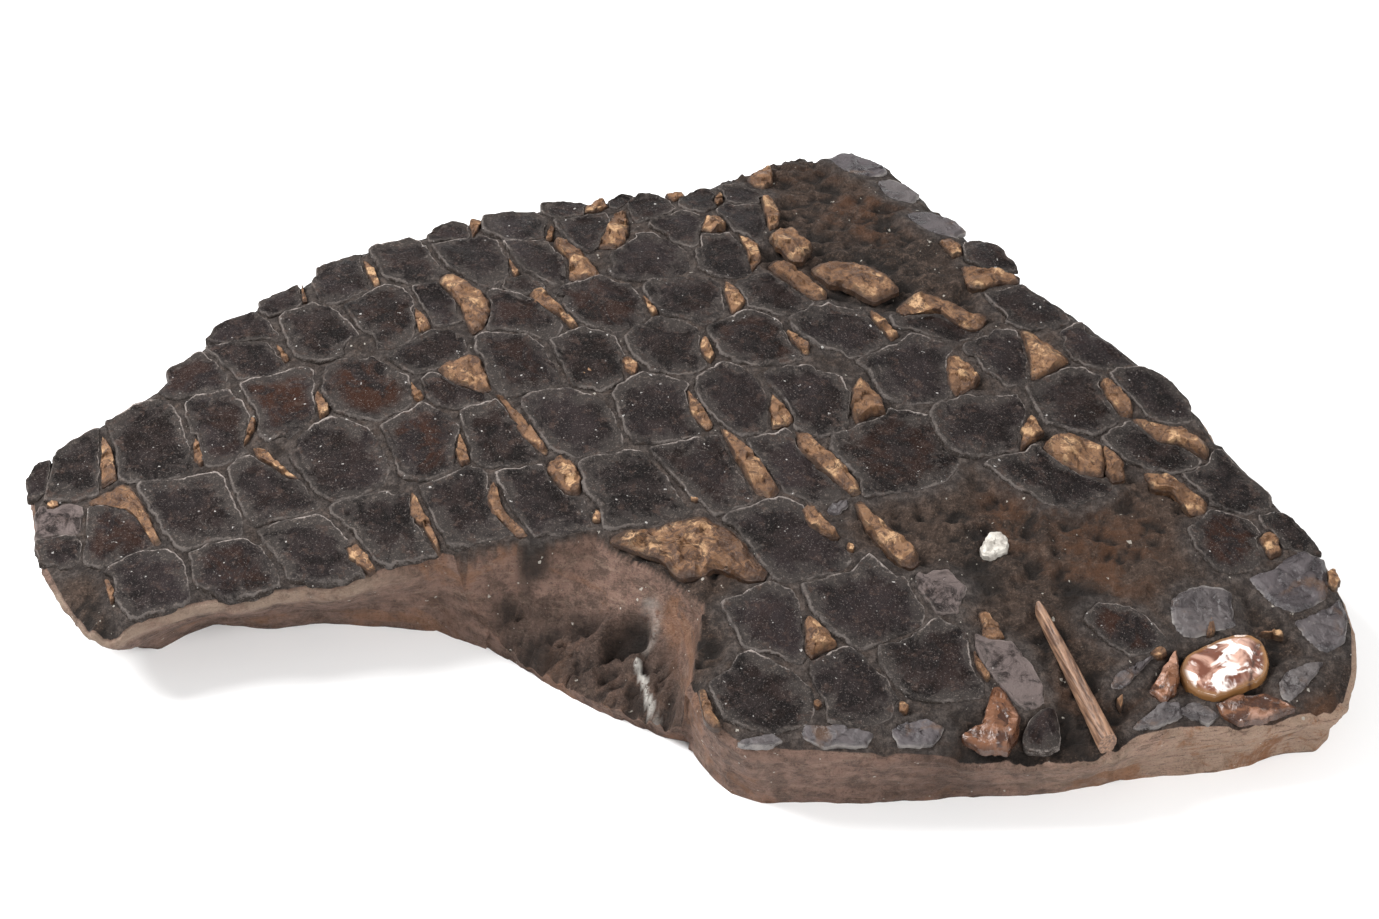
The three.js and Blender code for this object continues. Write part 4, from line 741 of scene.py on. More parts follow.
class Nodes:
    """Short ways to build a material's nodes."""

    def __init__(self, name):
        self.material = bpy.data.materials.new(name)
        self.material.use_nodes = True
        self.tree = self.material.node_tree
        self.shader = self.tree.nodes["Principled BSDF"]

    def add(self, kind, inputs=None, **settings):
        node = self.tree.nodes.new(kind)
        for key, value in settings.items():
            setattr(node, key, value)
        for key, value in (inputs or {}).items():
            self.feed(node.inputs[key], value)
        return node

    def feed(self, socket, value):
        if isinstance(value, bpy.types.NodeSocket):
            self.tree.links.new(value, socket)
        elif hasattr(value, "__len__") and len(value) == 3 and socket.type == "RGBA":
            socket.default_value = (*value, 1)
        else:
            socket.default_value = value

    def place(self):
        return self.add("ShaderNodeTexCoord").outputs["Object"]

    def noise(self, scale, detail=4, roughness=0.55, distortion=0.0, vector=None):
        return self.add(
            "ShaderNodeTexNoise",
            {"Vector": vector or self.place(), "Scale": scale, "Detail": detail, "Roughness": roughness,
             "Distortion": distortion},
        ).outputs["Fac"]

    def attribute(self, name):
        return self.add("ShaderNodeAttribute", attribute_name=name).outputs["Fac"]

    def ramp(self, value, low, high, low_to=0.0, high_to=1.0):
        return self.add(
            "ShaderNodeMapRange",
            {"Value": value, "From Min": low, "From Max": high, "To Min": low_to, "To Max": high_to},
            interpolation_type="SMOOTHSTEP",
        ).outputs["Result"]

    def math(self, operation, a, b=0.0):
        node = self.add("ShaderNodeMath", operation=operation)
        self.feed(node.inputs[0], a)
        self.feed(node.inputs[1], b)
        return node.outputs[0]

    def mix(self, share, a, b):
        node = self.add("ShaderNodeMix", data_type="RGBA")
        self.feed(node.inputs["Factor"], share)
        self.feed(node.inputs["A"], a)
        self.feed(node.inputs["B"], b)
        return next(o for o in node.outputs if o.type == "RGBA")

    def set(self, **inputs):
        for key, value in inputs.items():
            self.feed(self.shader.inputs[key.replace("_", " ")], value)

    def bump(self, height, strength, distance):
        normal = self.add(
            "ShaderNodeBump", {"Height": height, "Strength": strength, "Distance": distance},
        ).outputs["Normal"]
        self.set(Normal=normal)
        return self.material


def stone_material(sizes):
    """Matt, gritty mudstone: mottled brown with iron stains, grey crust, paler walls and a white vein;
    painted light on the sides towards the right, painted shade in the low places and the pit, and a painted
    shadow beside the dark lens.
    """
    n = Nodes("brown_mudstone")
    stone, stain = tuple(sizes.stone), tuple(sizes.stain)
    light = tuple(c * 2.3 + 0.01 for c in stone)
    dark = tuple(c * 0.25 for c in stone)
    broad = n.noise(26, 6, 0.65, 0.3)
    fine = n.noise(420, 6, 0.8)
    grain = n.noise(1700, 3, 0.65)
    colour = n.mix(n.ramp(broad, 0.36, 0.66, 0.15, 1), dark, stone)
    colour = n.mix(n.ramp(fine, 0.5, 0.66, 0, 0.7), colour, light)
    colour = n.mix(n.ramp(fine, 0.47, 0.37, 0, 0.75), colour, dark)
    layered = n.add("ShaderNodeMapping", {"Vector": n.place(), "Scale": (1.0, 1.0, 7.0)}).outputs["Vector"]
    beds = n.noise(95, 7, 0.85, 0.5, layered)
    wall = n.attribute("wall")
    paler = n.math("MULTIPLY", wall, n.ramp(n.noise(200, 6, 0.8, 0.3), 0.4, 0.6, 0.3, 0.85))
    colour = n.mix(paler, colour, (0.3, 0.18, 0.138))
    # painted light: the sides towards the right, where this mask rises above 0.85, are painted lit, with pale
    # bedding
    sunlit = n.math("MULTIPLY", n.math("SUBTRACT", wall, 0.85), n.ramp(beds, 0.4, 0.56, 0.35, 0.95))
    colour = n.mix(n.math("MAXIMUM", sunlit, 0.0), colour, (0.44, 0.315, 0.225))
    colour = n.mix(n.math("MULTIPLY", wall, n.ramp(beds, 0.52, 0.66, 0, 0.6)), colour, (0.33, 0.235, 0.175))
    colour = n.mix(n.math("MULTIPLY", wall, n.ramp(beds, 0.46, 0.38, 0, 0.4)), colour, (0.05, 0.03, 0.022))
    rusty = n.math("MULTIPLY", wall, n.ramp(n.noise(38, 6, 0.75, 0.8), 0.52, 0.64, 0, 0.6))
    colour = n.mix(rusty, colour, (0.25, 0.115, 0.055))
    colour = n.mix(n.ramp(grain, 0.56, 0.68, 0, 0.4), colour, (0.22, 0.15, 0.11))
    colour = n.mix(n.ramp(grain, 0.42, 0.32, 0, 0.5), colour, dark)
    stained = n.math("MULTIPLY", n.attribute("stain"), n.ramp(n.noise(95, 6, 0.75, 0.6), 0.4, 0.62, 0, 0.65))
    colour = n.mix(stained, colour, stain)
    iron = n.ramp(n.noise(44, 7, 0.75, 0.8), 0.54, 0.7, 0, 0.45)
    colour = n.mix(iron, colour, tuple(c * 0.75 for c in stain))
    # darker patches and broken rock, with painted shade in the pit and a painted shadow beside the dark lens
    colour = n.mix(n.math("MULTIPLY", n.attribute("dark"), n.ramp(broad, 0.3, 0.55)), colour, dark)
    # painted shade in the low places of the crags, in the pit and between the lumps
    colour = n.mix(n.math("MULTIPLY", n.attribute("cleft_shade"), 0.85), colour, tuple(c * 0.5 for c in dark))
    crust = n.math("MULTIPLY", n.attribute("crust"), n.ramp(n.noise(240, 4, 0.6), 0.3, 0.6, 0.4, 1))
    grey = n.mix(n.ramp(fine, 0.4, 0.68), (0.026, 0.02, 0.018), (0.105, 0.086, 0.076))
    colour = n.mix(n.math("MULTIPLY", crust, 0.85), colour, grey)
    lip = n.math("MULTIPLY", n.attribute("lip"), n.ramp(n.noise(110, 5, 0.7), 0.36, 0.56, 0.2, 0.8))
    colour = n.mix(lip, colour, (0.32, 0.235, 0.175))
    specks = n.ramp(n.noise(620, 2, 0.4), 0.735, 0.77, 0, 0.8)
    colour = n.mix(specks, colour, (0.5, 0.46, 0.4))
    vein = n.math("MULTIPLY", n.attribute("vein"), n.ramp(n.noise(400, 3, 0.6), 0.35, 0.5))
    colour = n.mix(vein, colour, (0.62, 0.59, 0.54))
    n.set(Base_Color=colour, Roughness=n.ramp(fine, 0.3, 0.7, 0.95, 0.7), Specular_IOR_Level=0.3)
    height = n.math("ADD", n.math("MULTIPLY", fine, 0.6), n.math("MULTIPLY", grain, 0.4))
    height = n.math("ADD", height, n.math("MULTIPLY", n.noise(170, 5, 0.7), 0.9))
    return n.bump(height, 1.0, 0.003)


def scale_material(sizes):
    """Charcoal enamel: a dark face, brown where it is thin, in a greyer, worn margin with a pale ridge that
    is partly a painted highlight, and a painted shadow at the outermost edge.
    """
    n = Nodes("charcoal_enamel")
    enamel, brown, rim = tuple(sizes.enamel), tuple(sizes.brown), tuple(sizes.rim)
    tone, glow = n.attribute("tone"), n.attribute("glow")
    edge = n.attribute("edge")
    broad = n.noise(60, 3, 0.6, 0.5)
    mottle = n.noise(170, 7, 0.75, 0.6)
    fine = n.noise(800, 5, 0.75)
    grit = n.noise(2300, 3, 0.65)
    margin = tuple(c * 0.145 for c in rim)
    lighter = tuple(c * 3.4 + 0.0028 for c in enamel)
    colour = n.mix(n.ramp(mottle, 0.45, 0.58), enamel, lighter)
    colour = n.mix(n.math("MULTIPLY", tone, n.ramp(broad, 0.35, 0.65, 0, 0.6)), colour, (0.025, 0.018, 0.019))
    browned = n.math("MULTIPLY", glow, n.ramp(n.noise(110, 5, 0.75, 0.6), 0.44, 0.58))
    colour = n.mix(browned, colour, brown)
    patchy = n.math("ADD", mottle, n.math("MULTIPLY", n.noise(85, 4, 0.7, 0.5), 1.5))
    worn = n.math("ADD", edge, n.math("SUBTRACT", patchy, 1.3))
    colour = n.mix(n.ramp(worn, 0.55, 0.95, 0, 0.85), colour, margin)
    colour = n.mix(n.ramp(n.noise(240, 6, 0.8), 0.54, 0.64, 0, 0.6), colour, (0.058, 0.037, 0.03))
    uneven = n.math("ADD", n.math("MULTIPLY", fine, 0.14), n.math("MULTIPLY", mottle, 0.12))
    close = n.math("ADD", edge, n.math("SUBTRACT", uneven, 0.14))
    # the pale ridge is partly a pale worn crest and partly a painted highlight, weighted to the sides towards
    # the back and the right
    along = n.math("MULTIPLY", n.attribute("highlight_side"), n.ramp(n.noise(90, 6, 0.8), 0.42, 0.58))
    ridge = n.math("MULTIPLY", n.ramp(close, 0.91, 0.95), n.ramp(close, 1.0, 0.972))
    colour = n.mix(n.math("MULTIPLY", ridge, along), colour, rim)
    scuffed = n.math("MULTIPLY", n.ramp(worn, 0.45, 0.95), n.ramp(fine, 0.54, 0.64, 0, 0.6))
    colour = n.mix(scuffed, colour, (0.12, 0.098, 0.085))
    # painted shadow: the outermost edge of each scale is darkened, as in the seam where it tucks under its
    # neighbour
    colour = n.mix(n.ramp(close, 0.975, 1.0, 0, 0.7), colour, (0.02, 0.015, 0.012))
    colour = n.mix(n.ramp(grit, 0.59, 0.66, 0, 0.5), colour, (0.18, 0.152, 0.14))
    colour = n.mix(n.ramp(n.noise(700, 2, 0.5), 0.72, 0.76, 0, 0.8), colour, (0.42, 0.4, 0.38))
    bleached = n.math("MULTIPLY", n.attribute("pale"), n.ramp(mottle, 0.4, 0.56, 0.15, 1.4))
    colour = n.mix(bleached, colour, (0.155, 0.122, 0.115))
    n.set(
        Base_Color=colour,
        Roughness=n.math("ADD", n.ramp(mottle, 0.35, 0.7, 0.34, 0.55), n.ramp(worn, 0.7, 0.9, 0, 0.3)),
        Specular_IOR_Level=n.ramp(worn, 0.7, 0.9, 0.1, 0.04),
    )
    height = n.math("ADD", n.math("MULTIPLY", mottle, 0.7), n.math("MULTIPLY", fine, 0.5))
    return n.bump(height, 0.8, 0.0017)


def bone_material(sizes):
    """Tan broken bone: facets from pale to brown, painted shade in its pores and along its edges, a fine
    grain.
    """
    n = Nodes("tan_bone")
    tan, pale, dark = tuple(sizes.tan), tuple(sizes.pale), tuple(sizes.dark)
    patch = n.noise(190, 5, 0.7, 0.9)
    fine = n.noise(900, 4, 0.7)
    edge, rough, tone = n.attribute("edge"), n.attribute("rough"), n.attribute("tone")
    shade = n.math("ADD", n.math("MULTIPLY", tone, 0.5), n.math("MULTIPLY", n.ramp(patch, 0.3, 0.7), 0.5))
    brown = tuple(0.45 * t + 0.55 * d for t, d in zip(tan, dark))
    colour = n.mix(n.ramp(shade, 0.26, 0.52), brown, tan)
    colour = n.mix(n.ramp(shade, 0.6, 0.85), colour, pale)
    pitted = n.math("ADD", n.noise(300, 6, 0.8, 1.2), n.math("MULTIPLY", rough, 0.04))
    # painted shade: dark spots for the pores, more on rougher bones
    hollow = n.ramp(pitted, 0.52, 0.61, 0, 0.85)
    colour = n.mix(hollow, colour, dark)
    worn = n.math("ADD", edge, n.math("MULTIPLY", n.math("SUBTRACT", patch, 0.5), 0.7))
    # painted shade: the bone is darkened all round its edges
    colour = n.mix(n.ramp(worn, 0.8, 1.02, 0, 0.9), colour, tuple(c * 0.55 for c in dark))
    colour = n.mix(n.ramp(fine, 0.6, 0.72, 0, 0.5), colour, tuple(c * 0.7 for c in dark))
    n.set(Base_Color=colour, Roughness=n.ramp(patch, 0.35, 0.65, 0.38, 0.7), Specular_IOR_Level=0.4)
    height = n.math("ADD", n.math("MULTIPLY", n.noise(460, 5, 0.75, 1.0), 0.8), n.math("MULTIPLY", fine, 0.4))
    return n.bump(height, 0.8, 0.0014)


def glossy_bone_material():
    """Brown, waxy bone with pale flesh-coloured faces, as where enamel has flaked off it."""
    n = Nodes("waxy_brown_bone")
    tone = n.attribute("tone")
    patch = n.noise(150, 5, 0.65, 0.8)
    shade = n.math("ADD", n.math("MULTIPLY", tone, 0.55), n.math("MULTIPLY", n.ramp(patch, 0.3, 0.7), 0.45))
    colour = n.mix(n.ramp(shade, 0.25, 0.5), (0.045, 0.018, 0.01), (0.14, 0.06, 0.03))
    colour = n.mix(n.ramp(shade, 0.58, 0.8), colour, (0.29, 0.155, 0.105))
    colour = n.mix(n.ramp(n.noise(420, 5, 0.75, 0.8), 0.56, 0.66, 0, 0.6), colour, (0.03, 0.012, 0.008))
    worn = n.math("ADD", n.attribute("edge"), n.math("MULTIPLY", n.math("SUBTRACT", patch, 0.5), 0.5))
    # painted shade: the waxy bone is darkened all round its edges
    colour = n.mix(n.ramp(worn, 0.86, 1.04, 0, 0.85), colour, (0.03, 0.013, 0.008))
    n.set(Base_Color=colour, Roughness=0.27, Specular_IOR_Level=0.5)
    return n.bump(n.noise(330, 4, 0.7, 0.8), 0.5, 0.001)


def grey_material():
    """Worn enamel plate, from purple grey to pale grey brown, with a broken pale rim."""
    n = Nodes("grey_enamel")
    tone = n.attribute("tone")
    mottle = n.noise(150, 6, 0.7, 0.6)
    fine = n.noise(620, 5, 0.7)
    base = n.mix(n.ramp(mottle, 0.35, 0.65), (0.016, 0.012, 0.014), (0.062, 0.051, 0.056))
    colour = n.mix(n.math("MULTIPLY", tone, n.ramp(mottle, 0.3, 0.6, 0.2, 0.8)), base, (0.12, 0.105, 0.098))
    colour = n.mix(n.ramp(n.noise(90, 4, 0.6, 0.5), 0.54, 0.68, 0, 0.7), colour, (0.09, 0.05, 0.03))
    worn = n.math("ADD", n.attribute("edge"), n.math("MULTIPLY", n.math("SUBTRACT", mottle, 0.5), 0.35))
    colour = n.mix(n.ramp(worn, 0.93, 1.06, 0, 0.6), colour, (0.26, 0.24, 0.22))
    colour = n.mix(n.ramp(fine, 0.62, 0.72, 0, 0.5), colour, (0.22, 0.2, 0.18))
    n.set(Base_Color=colour, Roughness=n.ramp(mottle, 0.36, 0.6, 0.2, 0.55), Specular_IOR_Level=0.45)
    return n.bump(n.math("ADD", n.math("MULTIPLY", mottle, 0.6), n.math("MULTIPLY", fine, 0.5)), 0.7, 0.0014)


def glossy_material():
    """Polished pinkish brown enamel with near-white patches of painted reflection, and a clear surface."""
    n = Nodes("polished_enamel")
    cloud = n.noise(130, 4, 0.55, 0.8)
    colour = n.mix(n.ramp(cloud, 0.4, 0.62), (0.12, 0.036, 0.018), (0.5, 0.3, 0.23))
    # painted reflection: near-white patches stand for the lamps' reflections
    colour = n.mix(n.ramp(n.noise(170, 3, 0.5, 1.2), 0.5, 0.6, 0, 0.95), colour, (0.9, 0.84, 0.8))
    colour = n.mix(n.ramp(n.attribute("edge"), 0.8, 0.93, 0, 1), colour, (0.2, 0.095, 0.035))
    colour = n.mix(n.attribute("crack"), colour, (0.05, 0.02, 0.01))
    n.set(Base_Color=colour, Roughness=0.16, Specular_IOR_Level=0.6)
    n.shader.inputs["Coat Weight"].default_value = 0.8
    n.shader.inputs["Coat Roughness"].default_value = 0.05
    return n.bump(n.noise(150, 3, 0.5, 0.6), 0.5, 0.002)


def fin_material():
    """Brown spine of bone with fine grooves along it."""
    n = Nodes("fin_bone")
    start, end = FIN_RAY["from"], FIN_RAY["to"]
    turn = -math.atan2(end[1] - start[1], end[0] - start[0])
    turned = n.add(
        "ShaderNodeVectorRotate", {"Vector": n.place(), "Angle": turn}, rotation_type="Z_AXIS",
    ).outputs["Vector"]
    drawn = n.add(
        "ShaderNodeMapping", {"Vector": turned, "Scale": (0.08, 1.0, 1.0)},
    ).outputs["Vector"]
    grain = n.noise(1300, 4, 0.6, 0.0, drawn)
    patch = n.noise(130, 4, 0.6)
    colour = n.mix(n.ramp(grain, 0.35, 0.65), (0.065, 0.032, 0.02), (0.25, 0.14, 0.085))
    colour = n.mix(n.ramp(patch, 0.45, 0.7, 0, 0.5), colour, (0.36, 0.215, 0.135))
    n.set(Base_Color=colour, Roughness=0.48, Specular_IOR_Level=0.45)
    return n.bump(grain, 0.7, 0.0008)


def pebble_material():
    """Dull white calcite with grey clouds."""
    n = Nodes("white_calcite")
    cloud = n.noise(260, 5, 0.65)
    colour = n.mix(n.ramp(cloud, 0.36, 0.66), (0.24, 0.215, 0.19), (0.52, 0.49, 0.44))
    n.set(Base_Color=colour, Roughness=0.7)
    return n.bump(cloud, 0.6, 0.0012)


def hollow_share(x, y):
    """0 outside the broken hollow and along its upper edge, 1 at the rim of its foot and beyond."""
    within = inside(HOLLOW_EDGE + HOLLOW_FRONT, x, y)
    between = inside(HOLLOW_EDGE + HOLLOW_RIM[::-1], x, y)
    edge = line_distance(HOLLOW_EDGE, x, y)[0]
    rim = line_distance(HOLLOW_RIM, x, y)[0]
    share = np.where(between, edge / (edge + rim + 1e-6), 1.0)
    return np.where(within, share, 0.0)


def stone_surface(x, y, sizes, fitted):
    """Height of the stone's upper face, and what its colours need. fitted holds the outlines in it."""
    near_scale = nearest_outline(fitted["scales"], x, y)
    near_bone = nearest_outline(fitted["bones"], x, y, 3.0)
    bare = smoothstep(1.2, 5.5, near_scale)
    lumps = layered_noise(x, y, 17, 3, 4, 0.65) * 0.6 + ridged_noise(x, y * 1.2, 6.5, 41, 4) * 2.3 - 0.65
    fine = layered_noise(x, y, 3.4, 5, 3, 0.75)
    z = dome(x, y) - 0.05 - bare * (sizes.bare_drop / MM - 0.05)
    z += bare * sizes.lumps / MM * lumps + (0.16 + 0.34 * bare) * fine
    under = smoothstep(-0.15, -1.3, near_scale)
    z -= under * 1.6
    z -= smoothstep(0.5, 0.0, near_bone) * 0.5
    share = hollow_share(x, y)
    broken = share > 0
    floor = HOLLOW_FOOT + (dome(x, y) - 1.8 - HOLLOW_FOOT) * (1 - np.power(share, 0.8))
    # smooth under the scales at the upper left, broken rock lower down
    zone = smoothstep(0.25, 0.5, share) * smoothstep(-52, -42, x)
    rough = layered_noise(x, y, 13, 23, 3, 0.6) * (0.5 + 0.8 * zone) + fine * (0.25 + 0.5 * zone)
    # the slope is steep, so that plan distances along y are half of those on the face
    crags = (ridged_noise(x, y * 2.1, 7, 29, 4) - 0.33) / 0.14
    crags = crags * 0.7 + layered_noise(x, y * 2.1, 3.4, 31, 3, 0.8) * 0.9
    rough += zone * crags * 1.1
    calm = smoothstep(0.0, 0.2, share) * smoothstep(1.0, 0.9, share)
    px, py, radius = PIT
    wavy = 1 + 0.1 * value_noise(x, y, 4.0, 37)
    from_pit = np.hypot(x - px, (y - py) * 1.55) * wavy
    hole = smoothstep(radius, radius * 0.6, from_pit)
    lip = smoothstep(radius + 2.2, radius + 0.4, from_pit) * (1 - hole)
    floor += rough * calm * (1 - 0.8 * hole) + lip * 1.1 - hole * 5.5 * smoothstep(0.0, 0.25, share)
    vein_line = line_distance(VEIN, x + 0.5 * value_noise(x, y, 3.0, 45), y)[0]
    floor += 0.6 * smoothstep(1.3, 0.2, vein_line) * calm
    z = np.where(broken, floor, z)
    beyond, _, _, _, side = line_distance(SHELF_RIDGE, x, y)
    z -= np.where((y > 60) & (side > 0), SHELF_SLOPE * beyond, 0)
    stain = np.zeros(np.shape(x))
    for sx, sy, reach in ORANGE_STAINS:
        stain = np.maximum(stain, smoothstep(reach, reach * 0.3, np.hypot(x - sx, y - sy)))
    dark = np.zeros(np.shape(x))
    for sx, sy, reach in DARK_PATCHES:
        dark = np.maximum(dark, smoothstep(reach, reach * 0.3, np.hypot(x - sx, y - sy)))
    # painted shade: low places in the crags, the pit and the hollows between the lumps of the bare stone are
    # darkened
    cleft_shade = np.where(
        broken, np.maximum(zone * smoothstep(-0.2, -1.3, crags) * 0.8, 0.85 * hole),
        bare * smoothstep(-0.05, -0.75, lumps + 0.5 * fine),
    )
    # painted shade: the pit is darkened in full; the broken rock lower down is a little darker
    dark = np.maximum(dark, np.where(broken, np.maximum(0.25 * zone, 1.0 * hole), 0))
    vein = smoothstep(0.85, 0.35, vein_line + 0.15 * value_noise(x, y, 2.0, 43))
    vein *= 0.25 + 0.75 * smoothstep(-91, -85, y)
    vein = np.maximum(vein, np.where(broken, 0.2 * lip**2 * smoothstep(2, 5, x - px), 0))
    crust = (1 - bare) * np.where(broken, 0.0, 1.0)
    wall = np.where(broken, 0.8 - 0.5 * zone, 0.0)
    return z, {"stain": stain, "dark": dark, "vein": vein, "crust": crust, "cleft_shade": cleft_shade, "wall": wall}


def grid_inside(outline, step_x, low_step, high_step, split):
    """Points of a grid inside an outline, closer in y below split, with the quads between them."""
    xs = np.arange(-168, 168, step_x)
    ys = np.concatenate([np.arange(-119, split, low_step), np.arange(split, 119.5, high_step)])
    gx, gy = np.meshgrid(xs, ys)
    keep = inside(outline, gx, gy)
    # a quad stays where its four corners are in, and it isn't joined to the rest by one corner alone
    quads = keep[:-1, :-1] & keep[1:, :-1] & keep[:-1, 1:] & keep[1:, 1:]
    for _ in range(6):
        padded = np.pad(quads, 1)
        beside = (
            padded[:-2, 1:-1].astype(int) + padded[2:, 1:-1] + padded[1:-1, :-2] + padded[1:-1, 2:]
        )
        quads = quads & (beside >= 2)
    for _ in range(3):
        p = np.pad(quads, 1)
        for (dj, di) in ((1, 1), (1, -1)):
            corner = p[1:-1, 1:-1] & p[1 + dj:p.shape[0] - 1 + dj, 1 + di:p.shape[1] - 1 + di]
            alone = ~p[1:-1, 1 + di:p.shape[1] - 1 + di] & ~p[1 + dj:p.shape[0] - 1 + dj, 1:-1]
            quads = quads & ~(corner & alone)
            p = np.pad(quads, 1)
    j, i = np.nonzero(quads)
    width = len(xs)
    first = j * width + i
    corners = np.column_stack([first, first + 1, first + width + 1, first + width])
    used, renumbered = np.unique(corners, return_inverse=True)
    return gx.ravel()[used], gy.ravel()[used], renumbered.reshape(corners.shape)


def boundary_loop(quads):
    """The longest loop of edges that only one quad has, anticlockwise."""
    following = {}
    edges = {tuple(e) for q in quads.tolist() for e in zip(q, q[1:] + q[:1])}
    for a, b in edges:
        if (b, a) not in edges:
            following[a] = b
    loops = []
    while following:
        start = next(iter(following))
        loop = [start]
        at = following.pop(start)
        while at != start:
            loop.append(at)
            at = following.pop(at)
        loops.append(loop)
    if len(loops) != 1:
        raise RuntimeError(f"the stone's upper face has {len(loops)} edges")
    return loops[0]


class FOSSIL_OT_stone(bpy.types.Operator):
    """Make the slab of stone: its upper face with the scales' beds, its broken hollow, sides and foot"""

    bl_idname = "fossil.stone"
    bl_label = "Stone"

    def execute(self, context):
        sizes = context.scene.fossil_slab
        step = sizes.grid / MM
        outline = [(x, y) for x, y, _ in RIM]
        shrunk = inset_outline(outline, EDGE_INSET)
        x, y, quads = grid_inside(shrunk, step, step * 0.8, step * 1.1, -38)
        loop = boundary_loop(quads)
        # the grid's edge is drawn onto the outline
        closed = shrunk + shrunk[:1]
        _, near_x, near_y, _, _ = line_distance(closed, x[loop], y[loop])
        x[loop], y[loop] = near_x, near_y
        fitted = {
            "scales": [rounded(o) for _, o in fitted_scales()] + [rounded(p[3]) for p in GREY_PLATES],
            "bones": [o for *_, o in BONES] + [GLOSSY_SCALE, DARK_LENS, WHITE_PEBBLE],
        }
        z, marks = stone_surface(x, y, sizes, fitted)
        rim = np.array([(*p, foot) for *p, foot in RIM])
        _, _, _, where, _ = line_distance([(a, b) for a, b, _ in RIM + RIM[:1]], x, y)
        edge = -outline_distance(outline, x, y)
        z -= 1.1 * smoothstep(EDGE_INSET + 2.8, EDGE_INSET, edge)
        z = np.maximum(z, 1.2)
        top = np.column_stack([x, y, z])
        feet = np.interp(where[loop], np.arange(len(rim) + 1), np.append(rim[:, 2], rim[0, 2]))
        rows = side_rows(top[loop], feet)
        points, faces, marks = close_stone(top, quads, loop, rows, marks)
        piece = add_piece("stone_slab", points, faces, stone_material(sizes), marks, 70)
        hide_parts("stone_matrix")
        return {"FINISHED"}


def inset_outline(outline, distance):
    """Moves an anticlockwise outline inwards."""
    points = np.array(outline, float)
    before = points - np.roll(points, 1, axis=0)
    after = np.roll(points, -1, axis=0) - points
    out = []
    for (bx, by), (ax, ay) in zip(before, after):
        normal = np.array([by, -bx]) / math.hypot(bx, by) + np.array([ay, -ax]) / math.hypot(ax, ay)
        normal /= np.hypot(*normal)
        reach = distance / max(0.6, normal @ np.array([ay, -ax]) / math.hypot(ax, ay))
        out.append(-normal * reach)
    return [tuple(p) for p in points + out]


def side_rows(top, feet):
    """Rings of points down the slab's sides, from below its upper edge to its foot."""
    x, y, z = top.T
    _, inner_x, inner_y, _, _ = line_distance(SPINE, x, y)
    away = np.column_stack([x - inner_x, y - inner_y])
    away /= np.hypot(*away.T)[:, None]
    low_rim = z < 9
    rows = []
    for share in SIDE_LEVELS:
        level = z * share
        drawn = np.interp(share, [0, 0.3, 0.6, 0.86, 1], [1, 0.75, 0.3, 0, 0]) * feet
        edge = EDGE_INSET * (1 - smoothstep(0.86, 1.0, share) ** 2)
        along = np.arctan2(y - 10, x) * 110
        beds = value_noise(along, level * 3.0, 16, 51) * 0.5 + value_noise(along, level * 5.0, 5, 53) * 0.35
        broken = ridged_noise(along, level * 1.3, 22, 57, 4) * 1.5
        broken += layered_noise(along, level * 1.5, 5, 59, 3, 0.7) * 0.4
        fade = smoothstep(1.0, 0.84, share) * np.where(low_rim, 0.7, 1.0)
        rim_waves = np.where(low_rim, 1.3 * np.abs(layered_noise(along, 0 * along, 9, 67, 3, 0.7)), 0)
        rough = np.clip((0.3 + broken + beds) * fade + rim_waves * smoothstep(1.0, 0.6, share), 0, 3.2)
        out = np.where(low_rim, 0.5, 1.0) * edge - drawn - rough
        rows.append(np.column_stack([x + away[:, 0] * out, y + away[:, 1] * out, level]))
    return rows


def close_stone(top, quads, loop, rows, marks):
    """Joins the upper face, the sides and a flat foot."""
    count = len(loop)
    points = np.vstack([top, *rows])
    faces = [tuple(q) for q in quads.tolist()]
    start = len(top)
    for i in range(count):
        j = (i + 1) % count
        faces.append((loop[j], loop[i], start + i, start + j))
    for r in range(len(rows) - 1):
        a = start + r * count
        b = a + count
        for i in range(count):
            j = (i + 1) % count
            faces.append((a + j, a + i, b + i, b + j))
    last = start + (len(rows) - 1) * count
    faces.append(tuple(last + i for i in reversed(range(count))))
    full = {}
    for key, values in marks.items():
        full[key] = np.concatenate([values, np.tile(values[loop] * 0.25, len(rows))])
    full["crust"][start:] = 0
    full["vein"][start:] = 0
    # painted light: the sides grow paler towards the right, as if lit from there
    full["wall"][start:] = 0.8 + 0.9 * smoothstep(50, 150, points[start:, 0])
    # the thin pale lip under the tail's edge
    x, y = points[:, 0], points[:, 1]
    share = np.concatenate([np.zeros(start), np.repeat(SIDE_LEVELS, count)])
    tail = smoothstep(-62, -84, x) * smoothstep(-56, -62, y)
    full["lip"] = tail * smoothstep(0.74, 0.84, share) * smoothstep(0.995, 0.96, share)
    return points, faces, full


